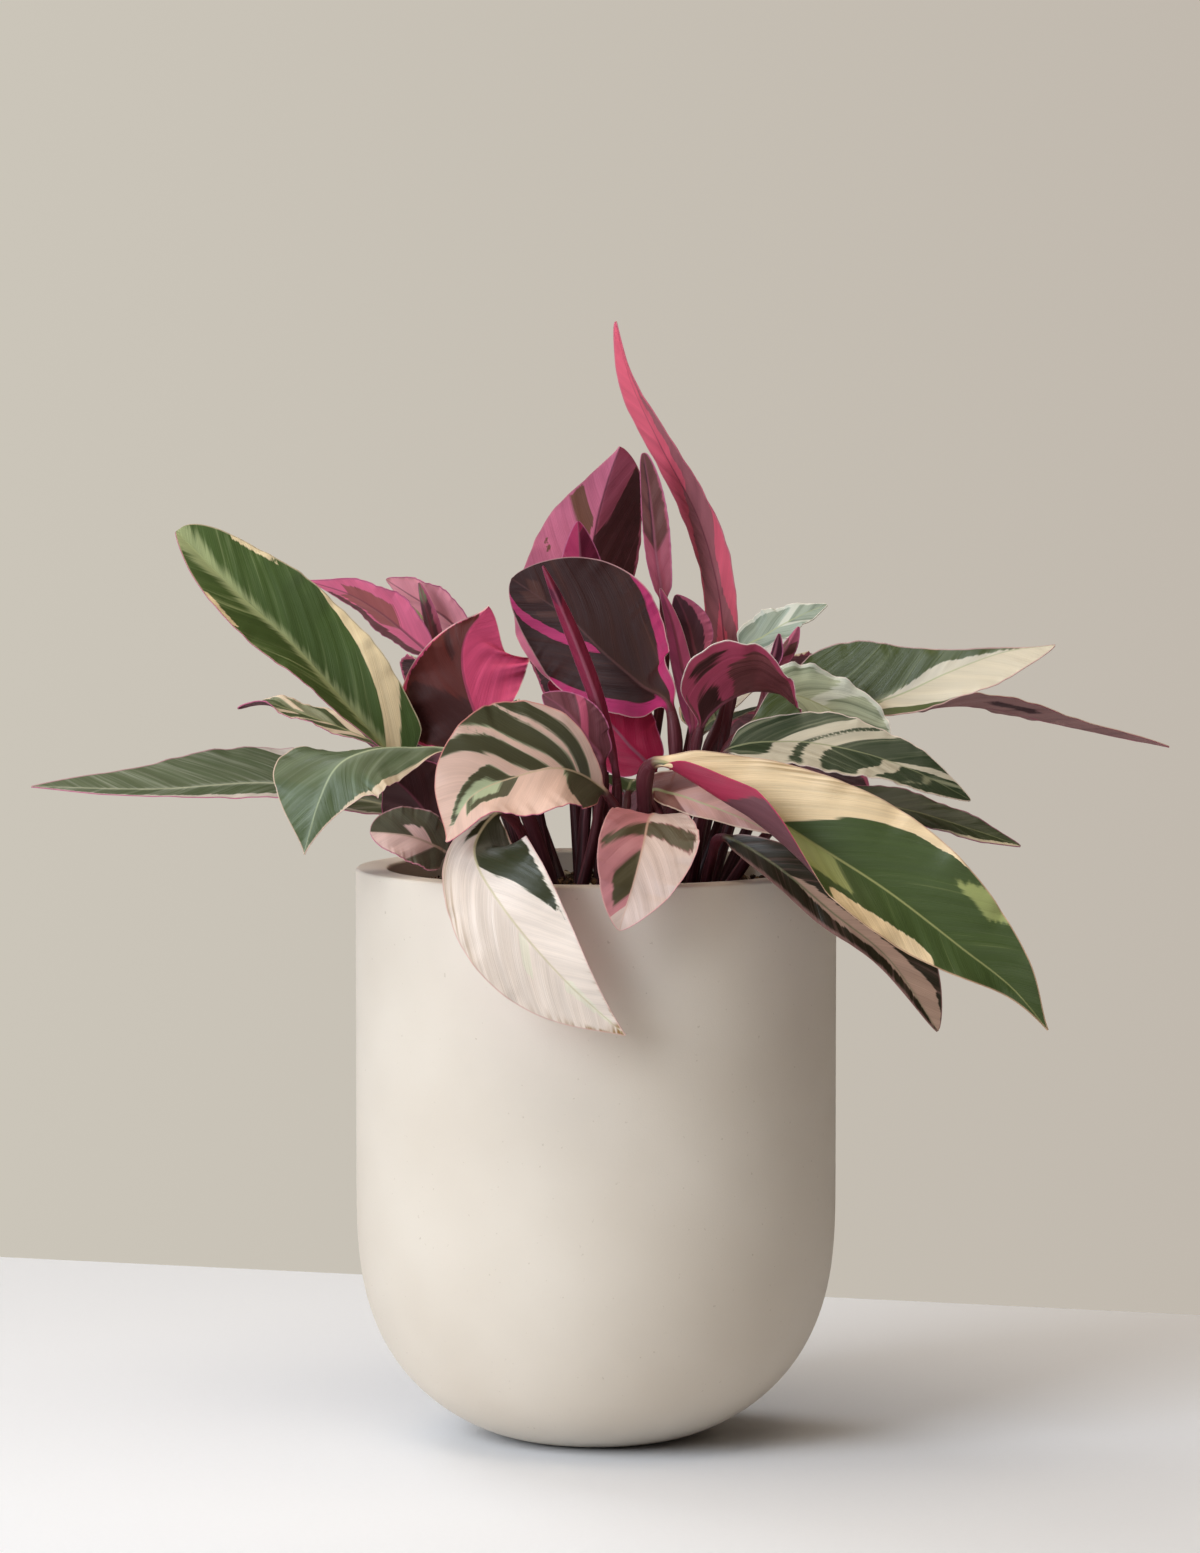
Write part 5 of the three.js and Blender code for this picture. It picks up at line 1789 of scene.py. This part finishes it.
@dataclass(frozen=True)
class Soil:
    """The potting mix: a filled bowl with a crumbly top and loose crumbs on it.

    Attributes:
        sides: steps round the mix.
        bowl_steps: steps up its curved wall.
        top_steps: steps from its edge to its middle.
        heave: how far the top rises and falls, in millimetres.
        swells: how many waves make up its top.
        swell_sum: how high so many waves of height one mostly reach.
        swell_length: the shortest and longest wave, in millimetres.
        calm: how far in from the wall the waves die out, in millimetres.
        crumbs: how many loose crumbs lie on it.
        crumb_sides, crumb_rings: points round a crumb and rings up it.
        crumb_size: the smallest and largest crumb's radius, in millimetres.
        crumb_push: how far in and out a crumb's points go, as shares of its radius.
        crumb_stretch: how far it is stretched along each axis, as shares too.
        crumb_kinds: the shares of peat, bark and grit among the crumbs.
        clear: how far the crumbs stay from the wall, in millimetres.
        seed: seeds every random draw.
    """

    sides: int = 144
    bowl_steps: int = 24
    top_steps: int = 40
    heave: float = 1.1
    swells: int = 12
    swell_sum: float = 3.0
    swell_length: tuple[float, float] = (7.0, 30.0)
    calm: float = 6.0
    crumbs: int = 1300
    crumb_sides: int = 7
    crumb_rings: int = 4
    crumb_size: tuple[float, float] = (0.7, 2.6)
    crumb_push: tuple[float, float] = (0.7, 1.25)
    crumb_stretch: tuple[float, float] = (0.6, 1.3)
    crumb_kinds: tuple[float, float, float] = (0.5, 0.38, 0.12)
    clear: float = 3.0
    seed: int = 7

    @property
    def radius(self) -> float:
        """Gives the mix's radius at the pot's straight wall."""
        return POT_RADIUS - POT_WALL - SEAT_GAP

    def heaved(self, x: Array, y: Array) -> Array:
        """Raises the top by a sum of plain waves of random direction, calm at its edge.

        Args:
            x: distances to the right of the middle.
            y: distances behind it.

        Returns:
            The rise at each point, in millimetres.
        """
        draw = np.random.default_rng(self.seed)
        angle, phase = draw.uniform(0.0, 2.0 * np.pi, (2, self.swells))
        length = draw.uniform(*self.swell_length, self.swells)
        travel = x[..., None] * np.cos(angle) + y[..., None] * np.sin(angle)
        lift = np.sin(2.0 * np.pi * travel / length + phase).sum(axis=-1)
        calm = smooth((self.radius - np.hypot(x, y)) / self.calm)
        return self.heave * lift / self.swell_sum * calm

    def bed(self) -> tuple[Array, list[list[int]]]:
        """Turns the bowl of mix and heaves its top.

        Returns:
            Its corners and faces.
        """
        bowl = bowl_profile(self.radius, POT_INNER_REACH, POT_FLOOR + SEAT_GAP, self.bowl_steps)
        reach = np.linspace(self.radius, 0.0, self.top_steps)
        top = np.stack([reach, np.full_like(reach, SOIL_TOP)], axis=-1)
        corners, faces = revolve(np.concatenate([bowl, top]), self.sides)
        on_top = np.isclose(corners[:, 2], SOIL_TOP)
        corners[:, 2] += np.where(on_top, self.heaved(corners[:, 0], corners[:, 1]), 0.0)
        return corners, faces

    def ball(self) -> tuple[Array, list[list[int]]]:
        """Makes the round crumb that all crumbs are pushed out of shape from.

        Returns:
            Its corners, at a radius of one, and its faces.
        """
        turn = np.linspace(0.0, np.pi, self.crumb_rings + 2)
        profile = np.stack([np.sin(turn), -np.cos(turn)], axis=-1)
        return revolve(profile, self.crumb_sides)

    def loose_crumbs(self) -> tuple[Array, Array, Array]:
        """Scatters crumbs over the top.

        Each is the round crumb with its points pushed in and out at random, then stretched,
        turned about the upright and sunk by a third.

        Returns:
            The corners, crumb after crumb, the four-sided faces and the three-sided ones.
        """
        draw = np.random.default_rng(self.seed + 1)
        ball, faces = self.ball()
        size = draw.uniform(*self.crumb_size, (self.crumbs, 1, 1))
        push = draw.uniform(*self.crumb_push, (self.crumbs, len(ball), 1))
        stretch = draw.uniform(*self.crumb_stretch, (self.crumbs, 1, 3))
        spin = draw.uniform(0.0, 2.0 * np.pi, (self.crumbs, 1))
        shape = ball * push * stretch * size
        away = (self.radius - self.clear) * np.sqrt(draw.uniform(0.0, 1.0, self.crumbs))
        angle = draw.uniform(0.0, 2.0 * np.pi, self.crumbs)
        middle = np.stack([away * np.cos(angle), away * np.sin(angle)], axis=-1)
        rise = SOIL_TOP + self.heaved(middle[:, 0], middle[:, 1]) + size[:, 0, 0] / 3.0
        x = shape[..., 0] * np.cos(spin) - shape[..., 1] * np.sin(spin) + middle[:, :1]
        y = shape[..., 0] * np.sin(spin) + shape[..., 1] * np.cos(spin) + middle[:, 1:]
        corners = np.stack([x, y, shape[..., 2] + rise[:, None]], axis=-1).reshape(-1, 3)
        first = np.arange(self.crumbs)[:, None, None] * len(ball)
        fours, threes = (
            np.array([face for face in faces if len(face) == count]) + first for count in (4, 3)
        )
        return corners, fours, threes

    def build(self) -> bpy.types.Object:
        """Makes the mix and its loose crumbs as one piece.

        Returns:
            The mix's object.
        """
        corners, faces = self.bed()
        crumbs, fours, threes = self.loose_crumbs()
        loose = [rows + len(corners) for rows in (fours, threes)]
        draw = np.random.default_rng(self.seed + 2)
        kind = draw.choice([0, 1, 2], self.crumbs, p=self.crumb_kinds)
        slots = [np.zeros(len(faces))] + [np.repeat(kind, rows.shape[1]) for rows in loose]
        finishes = [
            Compost("damp peat", "#1d130d", "#4a3526", 2.0),
            Compost("shredded bark", "#3a281b", "#7a5b40", 1.5),
            Compost("pale pumice grit", "#a08e74", "#d8cbb2", 1.0),
        ]
        piece = new_piece(
            "soil_fine",
            np.concatenate([corners, crumbs]),
            faces + [face for rows in loose for face in rows.reshape(-1, rows.shape[2]).tolist()],
            [finish.material() for finish in finishes],
            np.concatenate(slots),
        )
        place_piece(piece, "soil")
        return piece


# ---- Floor, light and camera -------------------------------------------------------------------


@dataclass(frozen=True)
class Lamp:
    """A square soft light.

    Attributes:
        name: what it does.
        spot: where it stands, in metres.
        size: the side of the square, in metres.
        power: in watts.
        colour: its colour.
    """

    name: str
    spot: tuple[float, float, float]
    size: float
    power: float
    colour: str

    def build(self, target: Vector) -> None:
        """Hangs the light.

        Args:
            target: the point that it shines at, in metres.
        """
        lamp = bpy.data.lights.new(self.name, "AREA")
        lamp.size = self.size
        lamp.energy = self.power
        lamp.color = linear(self.colour)[:3]
        holder = bpy.data.objects.new(self.name, lamp)
        holder.location = self.spot
        holder.rotation_euler = (target - Vector(self.spot)).to_track_quat("-Z", "Y").to_euler()
        bpy.context.scene.collection.objects.link(holder)


@dataclass(frozen=True)
class PaintedTop:
    """A table top in matt pale paint, smooth but for a faint grain.

    Attributes:
        paint, grain: the paint's colour and the shade of its grain.
        grain_size: the size of the grain in millimetres.
        relief: its height in millimetres.
        roughness: how matt the paint is.
        shine: how strongly it mirrors.
    """

    paint: str = "#f7f9fd"
    grain: str = "#ebecee"
    grain_size: float = 2.5
    relief: float = 0.05
    roughness: float = 0.8
    shine: float = 0.2

    def material(self) -> bpy.types.Material:
        """Builds the paint from its colour and a faint grain.

        Returns:
            The paint, which reads a point's place in its object.
        """
        material, tree = new_material("matt painted table top")
        where = add_node(tree, "TexCoord", output=OBJECT_PLACE)
        grain = add_node(tree, "TexNoise", {"Vector": where, "Scale": 1.0 / (self.grain_size * MM)})
        share = add_node(tree, "MapRange", [grain, 0.3, 0.7, 0.0, 0.12])
        colour = layered(tree, self.paint, [(share, self.grain)])
        finish_material(tree, colour, grain, self.relief, self.roughness, self.shine)
        return material


@dataclass(frozen=True)
class Studio:
    """A pale table, a plain warm grey surround, soft lights and the camera.

    Attributes:
        table: the corners of the table top, whose back edge runs at a slant.
        surround, shaded_surround_right: the backdrop's colour at its left, and the darker colour at
            its right, painted shade away from the window on the left.
        fill: the colour of the light that the surround sheds.
        ambient: how strongly it sheds it.
        lamps: the soft lights.
    """

    table: Sequence[Row] = (
        (-2600.0, -2600.0), (2600.0, -2600.0), (2600.0, -340.0), (338.0, 382.0),
        (-360.0, 605.0), (-2600.0, 1320.0),
    )
    surround: str = "#cbc5b9"
    shaded_surround_right: str = "#c1b9ae"
    fill: str = "#ffe9d2"
    ambient: float = 0.05
    lamps: Sequence[Lamp] = (
        Lamp("window on the left", (-1.62, -1.72, 1.25), 1.4, 50.0, "#eaf4ff"),
        Lamp("ceiling bounce", (-0.2, -0.3, 2.6), 2.6, 44.0, "#fff0dc"),
        Lamp("window behind", (-1.3, 1.5, 1.95), 1.2, 16.0, "#f6faff"),
    )

    def build(self) -> None:
        """Sets up the table, surround, lights and camera."""
        self.table_top()
        self.world()
        for lamp in self.lamps:
            lamp.build(Vector(LAMPS_TOWARDS))
        self.camera()
        bpy.context.scene.view_settings.view_transform = "Standard"

    def table_top(self) -> None:
        """Lays the flat table top just under the pot."""
        flat = np.array([[x, y, 0.0] for x, y in self.table])
        paint = PaintedTop().material()
        new_piece("table_top", flat, [list(range(len(flat)))], [paint])

    def world(self) -> None:
        """Colours the surround from left to right, darker to the right with painted shade, and
        lights the plant with less than it shows.
        """
        world = bpy.data.worlds.new("plain surround")
        world.use_nodes = True
        bpy.context.scene.world = world
        tree = world.node_tree
        shown = tree.nodes["Background"]
        # Painted shade: the backdrop darkens from left to right, away from the window on the left.
        where = add_node(tree, "TexCoord")
        sideways = add_node(tree, "SeparateXYZ", [where])
        share = add_node(tree, "MapRange", [sideways, -0.1, 0.1])
        colour = layered(tree, self.surround, [(share, self.shaded_surround_right)])
        tree.links.new(colour, shown.inputs["Color"])
        light = add_node(tree, "Background", [self.fill, self.ambient])
        seen = add_node(tree, "LightPath")
        both = add_node(tree, "MixShader", [seen, light, shown.outputs[0]])
        tree.links.new(both, tree.nodes["World Output"].inputs["Surface"])

    def camera(self) -> None:
        """Stands the camera at the plant's height, far off, with a long lens."""
        lens = bpy.data.cameras.new("studio camera")
        lens.sensor_fit = "VERTICAL"
        lens.sensor_height = SENSOR_HEIGHT
        lens.lens = FOCAL_PIXELS / FRAME_HEIGHT * SENSOR_HEIGHT
        lens.clip_end = CAMERA_SIGHT
        camera = bpy.data.objects.new("studio camera", lens)
        spot = Vector(CAMERA_AT) * MM
        camera.location = spot
        towards = Vector(CAMERA_TOWARDS) * MM - spot
        camera.rotation_euler = towards.to_track_quat("-Z", "Y").to_euler()
        bpy.context.scene.collection.objects.link(camera)
        bpy.context.scene.camera = camera


def main() -> None:
    """Builds the pot, the mix, the leaves and the studio."""
    logging.basicConfig(level=logging.INFO, format="%(message)s")
    Pot().build()
    Soil().build()
    for number, leaf in enumerate(LEAVES):
        LeafSkin(leaf, MARKS.get(leaf.name, TONE_MARKS[leaf.tone]), number).build()
    Studio().build()


if __name__ == "__main__":
    main()
